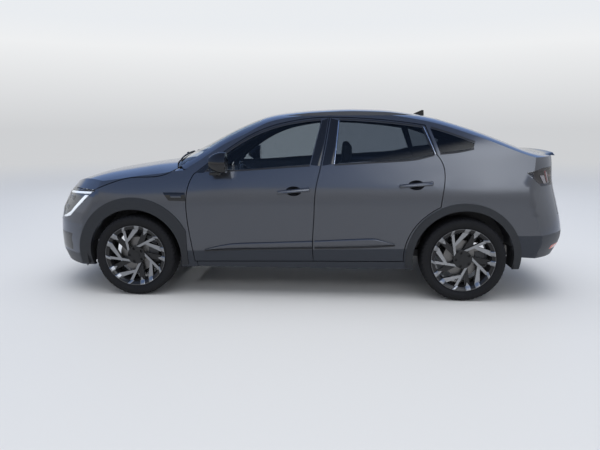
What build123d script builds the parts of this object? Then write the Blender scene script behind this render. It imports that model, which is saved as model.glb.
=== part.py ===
from build123d import *
import math
import os
import numpy as np
from scipy.interpolate import PchipInterpolator

# Coupe sport utility vehicle. Millimetres, +X forward, +Y to the car's left, +Z up, tyres on z = 0.
# Panel outlines are drawn at the stations of the drawing below and follow the driving dimensions.

# Driving dimensions: overall
WHEELBASE = 2720
FRONT_OVERHANG = 900
REAR_OVERHANG = 948
BODY_WIDTH = 1816
ROOF_HEIGHT = 1571
GROUND_CLEARANCE = 245

# Driving dimensions: wheels, 225/45 tyres on 19 inch rims
TYRE_RADIUS = 342.5
TYRE_WIDTH = 225
RIM_SEAT_RADIUS = 241.5
RIM_LIP_RADIUS = 258
RIM_WIDTH = 208
RIM_WALL = 13
FRONT_WHEEL_Y = 780
REAR_WHEEL_Y = 785
HUB_FACE = 45
HUB_RADIUS = 74
SPINDLE_RADIUS = 20
SPINDLE_CLEARANCE = 0.08
SPOKE_COUNT = 5
SPOKE_DEPTH = 34
LEG_HALF = 9
LEG_HUB_ANGLE = 155
LEG_RIM_ANGLE = 113
FORK_ANGLE = 28
FORK_HALF = 21
TIP_ANGLE = 138
BLADE_DROP = 14
CAP_RADIUS = 30
BOLT_CIRCLE = 114.3
BOLT_RADIUS = 12
BOLT_POCKET = 16
DISC_RADIUS = 150
DISC_THICKNESS = 24

# Driving dimensions: panels
PANEL_WALL = 40
FRONT_WALL = 32
DOOR_DEPTH = 110
DOOR_FRAME_DEPTH = 45
DOOR_REBATE = 30
HEM_DEPTH = 8
HEM_INSET = 15
HANDLE_OUT = 24
HANDLE_DEPTH = 44
HANDLE_ROUND = 9
CUP_LENGTH = 70
CUP_HEIGHT = 43
CUP_DEPTH = 26
POST_GAP = 22
POST_DEPTH = 60
STOP_RADIUS = 14
STOP_ROOT = 10
GLASS_RECESS = 6
GLASS_THICKNESS = 5
SHUT_GAP = 7
SEAT_GAP = 0.3
JOIN_GAP = 0.7
JOIN_OVERLAP = 15
FRONT_ARCH_RADIUS = 397
FRONT_TRIM_RADIUS = 496
REAR_ARCH_RADIUS = 405
REAR_TRIM_RADIUS = 464
TRIM_THICKNESS = 8
LINER_WALL = 6
FRONT_LINER_RADIUS = 436
STEERING_REACH = 415
REAR_LINER_RADIUS = 420

# Driving dimensions: steering
KINGPIN_FOOT_Y = 720
KINGPIN_FOOT_Z = 195
KINGPIN_TOP_Y = 545
KINGPIN_TOP_Z = 900
STRUT_RADIUS = 25
STEERING_WHEEL_RADIUS = 182
STEERING_WHEEL_X = 470
STEERING_WHEEL_Y = 380
STEERING_WHEEL_Z = 905
STEERING_COLUMN_TILT = 25

SKIN_TOLERANCE = 0.8

# Stations of the drawing, from which the real stations are stretched
DRAWN_NOSE = 2284
DRAWN_FRONT_AXLE = 1384
DRAWN_REAR_AXLE = -1336
DRAWN_TAIL = -2284
DRAWN_WIDTH = 1816
DRAWN_ROOF = 1571

NOSE_X = (FRONT_OVERHANG + WHEELBASE + REAR_OVERHANG) / 2
FRONT_AXLE_X = NOSE_X - FRONT_OVERHANG
REAR_AXLE_X = FRONT_AXLE_X - WHEELBASE
TAIL_X = REAR_AXLE_X - REAR_OVERHANG
AXLE_Z = TYRE_RADIUS


def station(x):
    """Real x of a drawn station: the ends keep their overhangs and the middle takes the wheelbase."""
    drawn = (DRAWN_TAIL, DRAWN_REAR_AXLE, DRAWN_FRONT_AXLE, DRAWN_NOSE)
    real = (TAIL_X, REAR_AXLE_X, FRONT_AXLE_X, NOSE_X)
    past = max(x - DRAWN_NOSE, 0) + min(x - DRAWN_TAIL, 0)
    return float(np.interp(x, drawn, real)) + past


def across(y):
    """Real y of a drawn half width."""
    return y * BODY_WIDTH / DRAWN_WIDTH


def level(z):
    """Real height of a drawn height: everything above the tyres takes the roof height."""
    base = 700
    return z if z < base else base + (z - base) * (ROOF_HEIGHT - base) / (DRAWN_ROOF - base)


def point(x, y, z):
    return Vector(station(x), across(y), level(z))


def through(*knots):
    """Smooth curve through (position, value) knots with no overshoot between them."""
    positions, values = zip(*sorted(knots))
    return PchipInterpolator(positions, values)


# Body lines of the drawing
half_width = through((2420, 770), (2284, 806), (1900, 868), (1384, 898), (900, 901), (0, 903), (-700, 905),
                     (-1336, 908), (-1800, 882), (-2284, 812), (-2420, 780))
tuck_in = through((60, 120), (200, 80), (300, 47), (420, 20), (600, 6), (760, 0), (880, 5), (960, 17),
                  (1040, 35), (1100, 46), (1300, 75), (1740, 120))
belt = through((2420, 1000), (1400, 1005), (862, 1026), (594, 1051), (-71, 1091), (-916, 1139),
               (-1385, 1205), (-1800, 1225), (-2420, 1225))
cabin_taper = through((2420, 0.97), (900, 0.99), (500, 1), (-900, 1), (-1500, 0.98), (-2000, 0.94),
                      (-2420, 0.9))
roof_line = through((1320, 1010), (1140, 1130), (828, 1286), (644, 1381), (463, 1462), (283, 1520),
                    (20, 1552), (-150, 1563), (-420, 1571), (-694, 1562), (-870, 1543), (-1121, 1497),
                    (-1291, 1450), (-1460, 1395), (-1626, 1333), (-1792, 1264), (-1900, 1224),
                    (-2000, 1202), (-2150, 1190), (-2420, 1175))
roof_half = through((1320, 900), (862, 845), (712, 781), (370, 690), (-166, 636), (-824, 690), (-1221, 745),
                    (-1600, 800), (-2000, 810), (-2420, 800))
roof_drop = through((1320, 220), (1000, 200), (862, 180), (712, 138), (370, 100), (200, 72), (-166, 52),
                    (-824, 66), (-1221, 72), (-1600, 78), (-2100, 60), (-2420, 60))
bonnet_line = through((820, 1150), (1150, 1120), (1300, 1105), (1450, 1085), (1600, 1063), (1750, 1036),
                      (1850, 1010), (1940, 978), (2030, 940), (2126, 893), (2300, 780), (2420, 690))
bonnet_drop = through((820, 85), (1010, 85), (1150, 92), (1400, 92), (1700, 84), (2000, 50), (2420, 30))
nose_line = through((100, 2090), (246, 2234), (340, 2276), (500, 2284), (640, 2268), (810, 2194),
                    (890, 2130), (1200, 1800))
tail_line = through((100, -2110), (300, -2196), (514, -2284), (720, -2244), (923, -2186), (1168, -2156),
                    (1500, -2040))


def side(x, z):
    """Half width of the car: the softer minimum of a barrel-sided body and a leaning cabin."""
    body = half_width(x) - tuck_in(z)
    rise = z - belt(x) + 30
    cabin = (872 - 0.42 * rise - 0.00024 * rise * rise) * cabin_taper(x)
    softness = 12
    return -softness * np.logaddexp(-body / softness, -cabin / softness)


def roof(x, y):
    """Height of the windscreen, roof, rear window and tail deck: a crown that rolls over at its edge."""
    share = abs(y) / roof_half(x)
    return roof_line(x) - roof_drop(x) * (0.55 * share**2 + 0.45 * share**6)


def bonnet(x, y):
    """Height of the bonnet and the tops of the front wings."""
    return bonnet_line(x) - bonnet_drop(x) * (abs(y) / 850)**3


def nose(y, z):
    """Front of the car, swept back at its corners."""
    return nose_line(z) - 420 * (abs(y) / 850)**3.2


def tail(y, z):
    """Rear of the car, swept forward at its corners."""
    return tail_line(z) + 330 * (abs(y) / 850)**3.5


def skin(formula, us, vs):
    """Smooth face through the grid of points that a formula gives."""
    rows = [[point(*formula(u, v)) for v in vs] for u in us]
    return Face.make_surface_from_array_of_points(rows, tol=SKIN_TOLERANCE)


def inside_side(inset):
    """Everything inboard of the left side skin, less an inset."""
    face = skin(lambda x, z: (x, side(x, z) - inset, z),
                np.linspace(-2420, 2420, 21), np.linspace(60, 1740, 23))
    return extrude(face, amount=2300, dir=(0, -1, 0))


def under_roof(inset):
    face = skin(lambda x, y: (x, y, roof(x, y) - inset),
                np.linspace(-2420, 1320, 25), np.linspace(-960, 960, 15))
    return extrude(face, amount=1600, dir=(0, 0, -1))


def under_bonnet(inset):
    face = skin(lambda x, y: (x, y, bonnet(x, y) - inset),
                np.linspace(820, 2420, 15), np.linspace(-960, 960, 15))
    return extrude(face, amount=1600, dir=(0, 0, -1))


def behind_nose(inset):
    face = skin(lambda y, z: (nose(y, z) - inset, y, z),
                np.linspace(-960, 960, 13), np.linspace(100, 1200, 15))
    return extrude(face, amount=1500, dir=(-1, 0, 0))


def ahead_of_tail(inset):
    face = skin(lambda y, z: (tail(y, z) + inset, y, z),
                np.linspace(-960, 960, 13), np.linspace(100, 1500, 13))
    return extrude(face, amount=3600, dir=(1, 0, 0))


def grown(points, by):
    """Outline moved outwards by a distance, or inwards if it is negative."""
    corners = np.array([p[:2] for p in points], float)
    along = np.roll(corners, -1, axis=0) - corners
    along /= np.linalg.norm(along, axis=1)[:, None]
    area = np.sum(corners[:, 0] * np.roll(corners[:, 1], -1) - np.roll(corners[:, 0], -1) * corners[:, 1])
    normal = np.stack([along[:, 1], -along[:, 0]], axis=1) * np.sign(area)
    before = np.roll(normal, 1, axis=0)
    shift = (normal + before) / (1 + np.sum(normal * before, axis=1))[:, None]
    moved = corners + by * shift
    return [(*m, *p[2:]) for m, p in zip(moved, points)]


def loop(points, place):
    """Face of a closed outline: a point with a third value is a corner, and the points between two
    corners lie on one smooth curve."""
    first = next(i for i, p in enumerate(points) if len(p) > 2)
    ring = points[first:] + points[:first + 1]
    edges, run = [], [place(ring[0])]
    for p in ring[1:]:
        run.append(place(p))
        if len(p) > 2:
            edges.append(Edge.make_line(*run) if len(run) == 2 else Edge.make_spline(run))
            run = [run[-1]]
    return Face(Wire(edges))


def cornered(points):
    return [(*p, True) for p in points]


def side_prism(points, low, high):
    """Block with an outline seen from the side, between two half widths."""
    face = loop(points, lambda p: Vector(station(p[0]), low, level(p[1])))
    return extrude(face, amount=high - low, dir=(0, 1, 0))


def plan_prism(points, low, high):
    """Block with an outline seen from above, between two heights."""
    face = loop(points, lambda p: Vector(station(p[0]), across(p[1]), low))
    return extrude(face, amount=high - low, dir=(0, 0, 1))


def front_prism(points, low, high):
    """Block with an outline seen from the front, between two stations."""
    face = loop(points, lambda p: Vector(low, across(p[0]), level(p[1])))
    return extrude(face, amount=high - low, dir=(1, 0, 0))


def block(x0, x1, y0, y1, z0, z1):
    """Box between drawn stations, half widths and heights."""
    low, high = point(x0, y0, z0), point(x1, y1, z1)
    size = high - low
    return Pos(*((low + high) / 2)) * Box(size.X, size.Y, size.Z)


def barrel(x, y0, y1, z, radius):
    """Cylinder across the car."""
    return Pos(x, (y0 + y1) / 2, z) * Rot(90, 0, 0) * Cylinder(radius, y1 - y0)


def mirrored(piece):
    return piece.mirror(Plane.XZ)


def keep_largest(piece):
    return max(piece.solids(), key=lambda solid: solid.volume)


parts = {}

# Side outlines of the drawing
FRONT_DOOR = [(862, 1030, True), (712, 1141), (594, 1227), (370, 1362), (217, 1421), (51, 1459),
              (-100, 1480), (-245, 1486, True), (-215, 1280), (-180, 1091), (-139, 895), (-128, 688),
              (-116, 464), (-124, 312, True), (878, 296, True), (903, 508), (925, 767), (904, 940)]
REAR_DOOR = [(-245, 1486, True), (-496, 1478), (-824, 1447), (-1017, 1418, True), (-1104, 1181, True),
             (-1160, 1060), (-1161, 964), (-1137, 775, True), (-1010, 690), (-912, 567), (-866, 440),
             (-859, 320, True), (-124, 312, True), (-116, 464), (-128, 688), (-139, 895), (-180, 1091),
             (-215, 1280)]
FRONT_WINDOW = [(770, 1061, True), (712, 1108), (594, 1197), (370, 1333), (217, 1393), (51, 1432),
                (-178, 1460, True), (-92, 1106, True), (100, 1093), (594, 1063)]
REAR_WINDOW = [(-326, 1460, True), (-496, 1452), (-824, 1421), (-990, 1398, True), (-1078, 1190, True),
               (-916, 1153), (-600, 1131), (-290, 1113, True)]
QUARTER_WINDOW = [(-1054, 1394, True), (-1221, 1340), (-1392, 1276, True), (-1385, 1238, True),
                  (-1250, 1212), (-1126, 1199, True)]
BONNET_SIDE = [(900, 1400, True), (900, 1140, True), (1030, 1062), (1109, 1024), (1397, 998), (1575, 950),
               (1720, 892, True), (2420, 892, True), (2420, 1400, True)]
HEADLAMP_SIDE = [(1726, 884, True), (2420, 884, True), (2420, 600, True), (2180, 604, True),
                 (1998, 656, True)]
FRONT_BUMPER_SIDE = [(1998, 656, True), (1837, 545, True), (1837, 200, True), (2420, 200, True),
                     (2420, 884, True), (1720, 884, True)]
TAIL_LAMP_SIDE = [(-1799, 1045, True), (-1950, 1078, True), (-2420, 1094, True), (-2420, 930, True),
                  (-1936, 936, True)]
REAR_BUMPER_SIDE = [(-1745, 560, True), (-1850, 700, True), (-1944, 930, True), (-2420, 930, True),
                    (-2420, 330, True), (-1990, 352, True), (-1740, 368, True)]

# Plan outlines of the drawing: the roof opening between the body sides, from bonnet to tail
GLASSHOUSE_EDGE = [(1040, 757, True), (880, 716), (600, 645), (330, 585), (0, 566), (-500, 556),
                   (-1055, 560), (-1400, 590), (-1750, 610), (-1950, 602), (-2420, 600, True)]
BONNET_REAR = 1150
BONNET_REAR_SWEEP = 130
WINDSCREEN_TOP = 335
ROOF_REAR = -1150


def glasshouse(inset):
    """Everything between the two body sides, less an inset."""
    left = [(x, y - inset, *corner) for x, y, *corner in GLASSHOUSE_EDGE]
    right = [(x, -y, *corner) for x, y, *corner in reversed(left)]
    return plan_prism(left + right, 200, 1700)


def swept_edge(middle, sweep, shift, far):
    """Plan region ahead of or behind a line that is swept back towards its ends."""
    line = [(middle - sweep * (y / 760)**2 + shift, y) for y in (-950, -600, -300, 0, 300, 600, 950)]
    line[0] += (True,)
    line[-1] += (True,)
    return plan_prism(line + cornered([(far, 950), (far, -950)]), 200, 1700)


# Body shells
side_skin = inside_side(0)
side_wall = inside_side(PANEL_WALL)
whole_side = side_skin & mirrored(side_skin)
whole_inside = side_wall & mirrored(side_wall)
roof_skin = under_roof(0)
cabin_zone = block(-2420, 1040, -1000, 1000, 250, 1700)
cabin_outer = whole_side & roof_skin & ahead_of_tail(0) & cabin_zone
cabin_inner = whole_inside & under_roof(PANEL_WALL) & ahead_of_tail(PANEL_WALL)
cabin_shell = cabin_outer - cabin_inner
front_zone = block(860, 2420, -1000, 1000, GROUND_CLEARANCE, 1400)
front_outer = whole_side & under_bonnet(0) & behind_nose(0) & front_zone
front_inner = whole_inside & under_bonnet(FRONT_WALL) & behind_nose(FRONT_WALL)
front_shell = front_outer - front_inner
left_half = block(-2420, 2420, 0, 1100, 0, 1700)

# Doors and their glass
glass_outer = inside_side(GLASS_RECESS)
glass_inner = inside_side(GLASS_RECESS + GLASS_THICKNESS)


def door_depth(x, z):
    """Depth of a door: full below the belt, and only the window frame above it."""
    share = np.clip((z - belt(x) + 75) / 60, 0, 1)
    return DOOR_DEPTH + (DOOR_FRAME_DEPTH - DOOR_DEPTH) * share * share * (3 - 2 * share)


door_inner_face = skin(lambda x, z: (x, side(x, z) - door_depth(x, z), z),
                       np.linspace(-1300, 1050, 14), np.linspace(230, 1620, 30))
door_inside = extrude(door_inner_face, amount=2300, dir=(0, -1, 0))


def handle(x_front, z_front, x_rear, z_rear):
    """Grip bar across a door, standing off its skin, and the hollow behind it for the fingers."""
    grip = [(x_front, z_front - 14), (x_front, z_front + 14), (x_rear, z_rear + 16), (x_rear, z_rear - 16)]
    middle = ((x_front + x_rear) / 2, (z_front + z_rear) / 2)
    skin_y = across(side(*middle))
    bar_piece = side_prism(cornered(grip), skin_y + HANDLE_OUT - HANDLE_DEPTH, skin_y + HANDLE_OUT)
    half = Ellipse(CUP_LENGTH, CUP_HEIGHT) & Pos(0, CUP_HEIGHT / 2) * Rectangle(3 * CUP_LENGTH, CUP_HEIGHT)
    hollow = revolve(half, axis=Axis.X)
    place = Pos(station(middle[0]), skin_y + CUP_HEIGHT - CUP_DEPTH, level(middle[1]))
    return fillet(bar_piece.edges(), HANDLE_ROUND), place * hollow


def door(outline, window, grip):
    """Thin outer skin of the full outline, with the frame and then the deeper box behind it set in from
    its edges, so that they clear the pillars as the door swings."""
    def cut(inset):
        return side_prism(grown(outline, -inset), 400, 1100)

    hem = (side_skin & cut(SHUT_GAP / 2)) - inside_side(HEM_DEPTH)
    frame = (glass_outer & cut(HEM_INSET)) - inside_side(DOOR_FRAME_DEPTH)
    box = (glass_outer & cut(DOOR_REBATE)) - door_inside
    grip_bar, hollow = handle(*grip)
    return keep_largest((hem + frame + box) - side_prism(window, 300, 1100) - hollow + grip_bar)


def pane(window):
    """Sheet of glass let into its opening."""
    return (glass_outer & side_prism(grown(window, -SEAT_GAP), 300, 1100)) - glass_inner


parts["door_front_left"] = door(FRONT_DOOR, FRONT_WINDOW, (169, 886, -96, 914))
parts["door_rear_left"] = door(REAR_DOOR, REAR_WINDOW, (-808, 940, -1072, 966))
parts["glass_front_left"] = pane(FRONT_WINDOW)
parts["glass_rear_left"] = pane(REAR_WINDOW)
quarter_glass = pane(QUARTER_WINDOW)
parts["glass_quarters"] = Compound(children=[quarter_glass, mirrored(quarter_glass)])

# Body sides: pillars, cant rail, quarter panel and sill
pillar_root = side_prism(cornered([(855, 1030), (1040, 1110), (1040, 1700), (-2420, 1700), (-2420, 200),
                                   (855, 200)]), 0, 1100)
inside_doors = inside_side(DOOR_DEPTH + POST_GAP)
sill = block(-925, 945, 640, 800, 250, 420) & inside_doors
sill += block(-925, -876, 640, 880, 262, 420) & side_wall
hinge_pillar = block(890, 945, 640, 770, 250, 1105) & inside_doors
hinge_pillar += block(890, 980, 640, 789, 1062, 1120) & under_roof(PANEL_WALL - JOIN_OVERLAP)
centre_post = side_prism(cornered([(-60, 380), (-250, 380), (-262, 1500), (-170, 1500)]), 400, 1000)
centre_post = centre_post & inside_doors & under_roof(PANEL_WALL + JOIN_GAP)
centre_post -= inside_side(DOOR_DEPTH + POST_GAP + POST_DEPTH)
door_stops = [barrel(station(x), 640, 900, 370, STOP_RADIUS) for x in (420, -560)]
door_stops = (door_stops[0] + door_stops[1]) & (Pos(0, -SEAT_GAP, 0) * door_inside)
side_panel = ((cabin_shell & left_half) - glasshouse(0)) & pillar_root
for opening in (grown(FRONT_DOOR, SHUT_GAP / 2), grown(REAR_DOOR, SHUT_GAP / 2), QUARTER_WINDOW,
                TAIL_LAMP_SIDE, REAR_BUMPER_SIDE):
    side_panel -= side_prism(opening, 0, 1100)
side_panel -= barrel(REAR_AXLE_X, 0, 1100, AXLE_Z, REAR_ARCH_RADIUS)
parts["body_side_left"] = keep_largest(side_panel + sill + hinge_pillar + centre_post + door_stops)


# Front wings, bonnet, bumper, grille and headlamps
LAMP_INNER_Y = 430
GRILLE_FRONT = [(-415, 850), (415, 850), (360, 622), (-360, 622)]
INTAKE_FRONT = [(-480, 520), (480, 520), (420, 335), (-420, 335)]
GRILLE_RECESS = 18
GRILLE_DEPTH = 12
GRILLE_BORDER = 16
GRILLE_PITCH_Z = 34
GRILLE_PITCH_Y = 96
GRILLE_BAR = 10
GRILLE_SLANT = 12
pillar_zone = side_prism(cornered([(700, 962.97), (1040, 1110), (1040, 1700), (700, 1700)]), 0, 1100)
wing = front_shell & left_half & block(860, 1998, 0, 1100, 200, 1300)
for opening in (grown(FRONT_DOOR, SHUT_GAP / 2), grown(BONNET_SIDE, SHUT_GAP / 2), FRONT_BUMPER_SIDE,
                HEADLAMP_SIDE):
    wing -= side_prism(opening, 0, 1100)
wing -= pillar_zone + block(860, 1000, 0, 790, 900, 1300)
wing -= barrel(FRONT_AXLE_X, 0, 1100, AXLE_Z, FRONT_ARCH_RADIUS)
parts["wing_front_left"] = keep_largest(wing)

bonnet_panel = front_shell & side_prism(grown(BONNET_SIDE, -SHUT_GAP / 2), -1100, 1100)
parts["bonnet"] = keep_largest(bonnet_panel & swept_edge(BONNET_REAR, BONNET_REAR_SWEEP, 0, 2420))

lamp_block = side_prism(HEADLAMP_SIDE, LAMP_INNER_Y, 1100)
bumper = front_shell & side_prism(FRONT_BUMPER_SIDE, -1100, 1100)
bumper -= lamp_block + mirrored(lamp_block)
for opening in (GRILLE_FRONT, INTAKE_FRONT):
    bumper -= front_prism(cornered(opening), 1500, 2500)
arch_cut = barrel(FRONT_AXLE_X, 0, 1100, AXLE_Z, FRONT_ARCH_RADIUS)
bumper -= arch_cut + mirrored(arch_cut)
parts["front_bumper"] = keep_largest(bumper)
grille_slab = behind_nose(GRILLE_RECESS) - behind_nose(GRILLE_RECESS + GRILLE_DEPTH)


def grille(opening):
    """Slab with staggered rows of slanted cells inside a plain border."""
    (_, top), (wide, _), (narrow, foot) = opening[0], opening[1], opening[2]
    rows = int((top - foot - GRILLE_BORDER) // GRILLE_PITCH_Z)
    cells = []
    for row in range(rows):
        low = foot + GRILLE_BORDER + row * GRILLE_PITCH_Z
        high = low + GRILLE_PITCH_Z - GRILLE_BAR
        half = narrow + (wide - narrow) * (low - foot) / (top - foot) - GRILLE_BORDER
        count = int(2 * (half - GRILLE_SLANT) // GRILLE_PITCH_Y) - row % 2
        for k in range(count):
            left = (k - count / 2) * GRILLE_PITCH_Y
            right = left + GRILLE_PITCH_Y - GRILLE_BAR
            slant = math.copysign(GRILLE_SLANT, left + right)
            cells.append(front_prism(cornered([(left, low), (right, low), (right + slant, high),
                                               (left + slant, high)]), 1500, 2500))
    return keep_largest(grille_slab & front_prism(grown(cornered(opening), -SEAT_GAP), 1500, 2500)) - cells


parts["front_grille"] = Compound(children=[keep_largest(grille(opening))
                                           for opening in (GRILLE_FRONT, INTAKE_FRONT)])
headlamp = front_shell & side_prism(grown(HEADLAMP_SIDE, -SEAT_GAP), LAMP_INNER_Y + SEAT_GAP, 1100)
headlamp = keep_largest(headlamp)
parts["headlamps"] = Compound(children=[headlamp, mirrored(headlamp)])

# Roof panel, windscreen, tailgate, rear bumper and tail lamps
WINDSCREEN_RECESS = 2
WINDSCREEN_THICKNESS = 6
COWL_GAP = 10
TAILGATE_FOOT = 690
REAR_GLASS_TOP = -1225
REAR_GLASS_FOOT = -1740
REAR_GLASS_BORDER = 70
TAIL_HALF = 600
screen_slab = under_roof(WINDSCREEN_RECESS) - under_roof(WINDSCREEN_RECESS + WINDSCREEN_THICKNESS)
between_sides = glasshouse(JOIN_GAP)
behind_bonnet = swept_edge(BONNET_REAR, BONNET_REAR_SWEEP, -COWL_GAP, WINDSCREEN_TOP)
parts["windscreen"] = keep_largest(screen_slab & between_sides & behind_bonnet)
roof_zone = block(ROOF_REAR + SHUT_GAP / 2, WINDSCREEN_TOP - SEAT_GAP, -900, 900, 600, 1700)
parts["roof_panel"] = keep_largest((roof_skin - under_roof(PANEL_WALL)) & between_sides & roof_zone)
tailgate_zone = block(-2420, ROOF_REAR - SHUT_GAP / 2, -900, 900, TAILGATE_FOOT, 1700)
tailgate_frame = cabin_shell & glasshouse(SHUT_GAP) & tailgate_zone


def rear_window(inset):
    zone = block(REAR_GLASS_FOOT + inset, REAR_GLASS_TOP - inset, -900, 900, 600, 1700)
    return glasshouse(REAR_GLASS_BORDER + inset) & zone


parts["tailgate"] = keep_largest(tailgate_frame - rear_window(0))
parts["tailgate_glass"] = keep_largest(screen_slab & rear_window(SEAT_GAP))

rear_bumper = cabin_shell & side_prism(REAR_BUMPER_SIDE, -1100, 1100)
rear_bumper -= block(-2420, -1500, -TAIL_HALF, TAIL_HALF, TAILGATE_FOOT - SHUT_GAP, 1700)
rear_arch = barrel(REAR_AXLE_X, 0, 1100, AXLE_Z, REAR_ARCH_RADIUS)
rear_bumper -= rear_arch + mirrored(rear_arch)
stop_foot = level(TAILGATE_FOOT - SHUT_GAP) - STOP_ROOT
stop_top = level(TAILGATE_FOOT) - SEAT_GAP
for y in (-360, 360):
    stop_x = station(tail(y, TAILGATE_FOOT)) + PANEL_WALL / 2
    rear_bumper += Pos(stop_x, y, (stop_foot + stop_top) / 2) * Cylinder(STOP_RADIUS, stop_top - stop_foot)
parts["rear_bumper"] = keep_largest(rear_bumper)
tail_lamp = cabin_shell & side_prism(grown(TAIL_LAMP_SIDE, -SEAT_GAP), TAIL_HALF + SEAT_GAP, 1100)
tail_lamp = keep_largest(tail_lamp)
parts["tail_lamps"] = Compound(children=[tail_lamp, mirrored(tail_lamp)])

# Arch trims, seated on the painted panels
trim_slab = inside_side(-SEAT_GAP - TRIM_THICKNESS) - inside_side(-SEAT_GAP)
TRIM_FOOT = 262


def arch_trim(axle_x, arch_radius, trim_radius, front_end, rear_end):
    """Moulding round a wheel arch, carried straight down below the axle."""
    trim = trim_slab & barrel(axle_x, 500, 1100, AXLE_Z, trim_radius)
    trim -= barrel(axle_x, 500, 1100, AXLE_Z, arch_radius)
    low, high = (rear_end, 500, TRIM_FOOT), (front_end, 1100, 1000)
    size = [b - a for a, b in zip(low, high)]
    middle = [(a + b) / 2 for a, b in zip(low, high)]
    return keep_largest(trim & (Pos(*middle) * Box(*size)))


front_trim = arch_trim(FRONT_AXLE_X, FRONT_ARCH_RADIUS, FRONT_TRIM_RADIUS, FRONT_AXLE_X + 600, station(936))
rear_trim = arch_trim(REAR_AXLE_X, REAR_ARCH_RADIUS, REAR_TRIM_RADIUS, REAR_AXLE_X + 600, REAR_AXLE_X - 600)
parts["arch_trims"] = Compound(children=[front_trim, mirrored(front_trim), rear_trim, mirrored(rear_trim)])

# Door mirrors
MIRROR_FACE = [(902, 1068), (935, 1052), (990, 1056), (1013, 1090), (1006, 1170), (978, 1205), (925, 1202),
               (900, 1150)]
MIRROR_MIDDLE = (955, 1128)


def mirror_section(x, share):
    """Outline of the mirror housing at a station, as a share of its glass end."""
    mid_y, mid_z = MIRROR_MIDDLE
    ring = [point(x, mid_y + share * (y - mid_y), mid_z + share * (z - mid_z)) for y, z in MIRROR_FACE]
    return Face(Wire(Edge.make_spline(ring, periodic=True)))


mirror_head = loft([mirror_section(568, 1), mirror_section(640, 0.96), mirror_section(705, 0.5)])
mirror_arm = fillet(block(620, 712, 800, 940, 1026, 1056).edges(), 8)
parts["mirror_left"] = keep_largest((mirror_head + mirror_arm) - inside_side(-SEAT_GAP))

# Floor, wheelhouses and front structure
RAIL_Y = 425
RAIL_FOOT = 430
FLOOR_FOOT = 255
FLOOR_TOP = 285
SEAT_WALL_X = -960
floor_pan = block(-950, 985, -639.7, 639.7, FLOOR_FOOT, FLOOR_TOP)
floor_pan += block(-950, 960, -130, 130, 280, 400) - block(-940, 970, -112, 112, 200, 382)
floor_pan += block(985.3, 1005, -720, 720, 255, 1040) + block(900, 1000, -639.7, 639.7, 255, 300)
floor_pan += block(SEAT_WALL_X, -935, -639.7, 639.7, FLOOR_FOOT, 500)
floor_pan += block(-2130, -935, -600, 600, 480, 505) + block(-2150, -2125, -480, 480, 380, 660)
for sign in (1, -1):
    floor_pan += block(1000, 2080, sign * RAIL_Y - 25, sign * RAIL_Y + 25, RAIL_FOOT, 540)
floor_pan += block(2060, 2100, -560, 560, RAIL_FOOT, 540)


def liner(axle_x, radius, inner_y, outer_y):
    """Wheelhouse: a half drum over the tyre, closed towards the middle of the car."""
    drum = barrel(axle_x, inner_y, outer_y, AXLE_Z, radius)
    drum -= barrel(axle_x, inner_y + LINER_WALL, outer_y + 10, AXLE_Z, radius - LINER_WALL)
    return drum & (Pos(axle_x, (inner_y + outer_y) / 2, 830) * Box(2 * radius + 20, 2 * outer_y, 800))


ball = Vector(FRONT_AXLE_X, KINGPIN_FOOT_Y, KINGPIN_FOOT_Z)
strut_top = Vector(FRONT_AXLE_X, KINGPIN_TOP_Y, KINGPIN_TOP_Z)
lean = (strut_top - ball).normalized()
strut_way = extrude(Plane(ball, z_dir=lean) * Circle(STRUT_RADIUS + 20), amount=(strut_top - ball).length)
front_liner = liner(FRONT_AXLE_X, FRONT_LINER_RADIUS, 446, 850)
rear_liner = liner(REAR_AXLE_X, REAR_LINER_RADIUS, 590, 850)
tower = Pos(FRONT_AXLE_X, KINGPIN_TOP_Y, KINGPIN_TOP_Z + 24) * Cylinder(75, 24)
tower += block(1300, 1470, 440, 500, 530, 934)
front_liner -= strut_way
steering_room = barrel(FRONT_AXLE_X, 560, 1100, AXLE_Z, STEERING_REACH)
floor_pan -= steering_room + mirrored(steering_room)
floor_pan += front_liner + mirrored(front_liner) + rear_liner + mirrored(rear_liner)
floor_pan += tower + mirrored(tower)
for y in (-420, 420):
    stop_top = bonnet(1900 + STOP_RADIUS, abs(y) + STOP_RADIUS) - FRONT_WALL - SEAT_GAP
    floor_pan += Pos(station(1900), y, (535 + stop_top) / 2) * Cylinder(STOP_RADIUS, stop_top - 535)
side_clear = inside_side(PANEL_WALL + SEAT_GAP)
floor_pan = floor_pan & side_clear & mirrored(side_clear)
parts["floor_pan"] = keep_largest(floor_pan)

# Engine, exhaust
engine = block(1160, 1640, -340, 340, 240 + SEAT_GAP, 860)
parts["engine_block"] = chamfer(engine.edges().filter_by(Axis.Y), 40)
pipe_path = FilletPolyline((1120, 60, 210), (-1000, 60, 210), (-1170, 60, 425), (-1500, 60, 425),
                           (-1640, 60, 340), (-1740, 60, 340), radius=60)
pipe = sweep(Plane(pipe_path @ 0, z_dir=pipe_path % 0) * Circle(27), path=pipe_path)
muffler = fillet(block(-2060, -1725, -380, 380, 265, 400).edges(), 45)
exhaust = pipe + muffler
for x in (620, -620):
    exhaust += block(x - 12, x + 12, 50, 70, 225, FLOOR_FOOT - SEAT_GAP)
parts["exhaust"] = exhaust


# Wheels, tyres and brakes, made about the wheel's own centre with +Y outboard
def turned(points):
    """Ring turned about the wheel's axis from (radius, distance outboard) points."""
    return revolve(Face(Wire.make_polygon([Vector(r, y, 0) for r, y in points])), axis=Axis.Y)


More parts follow.
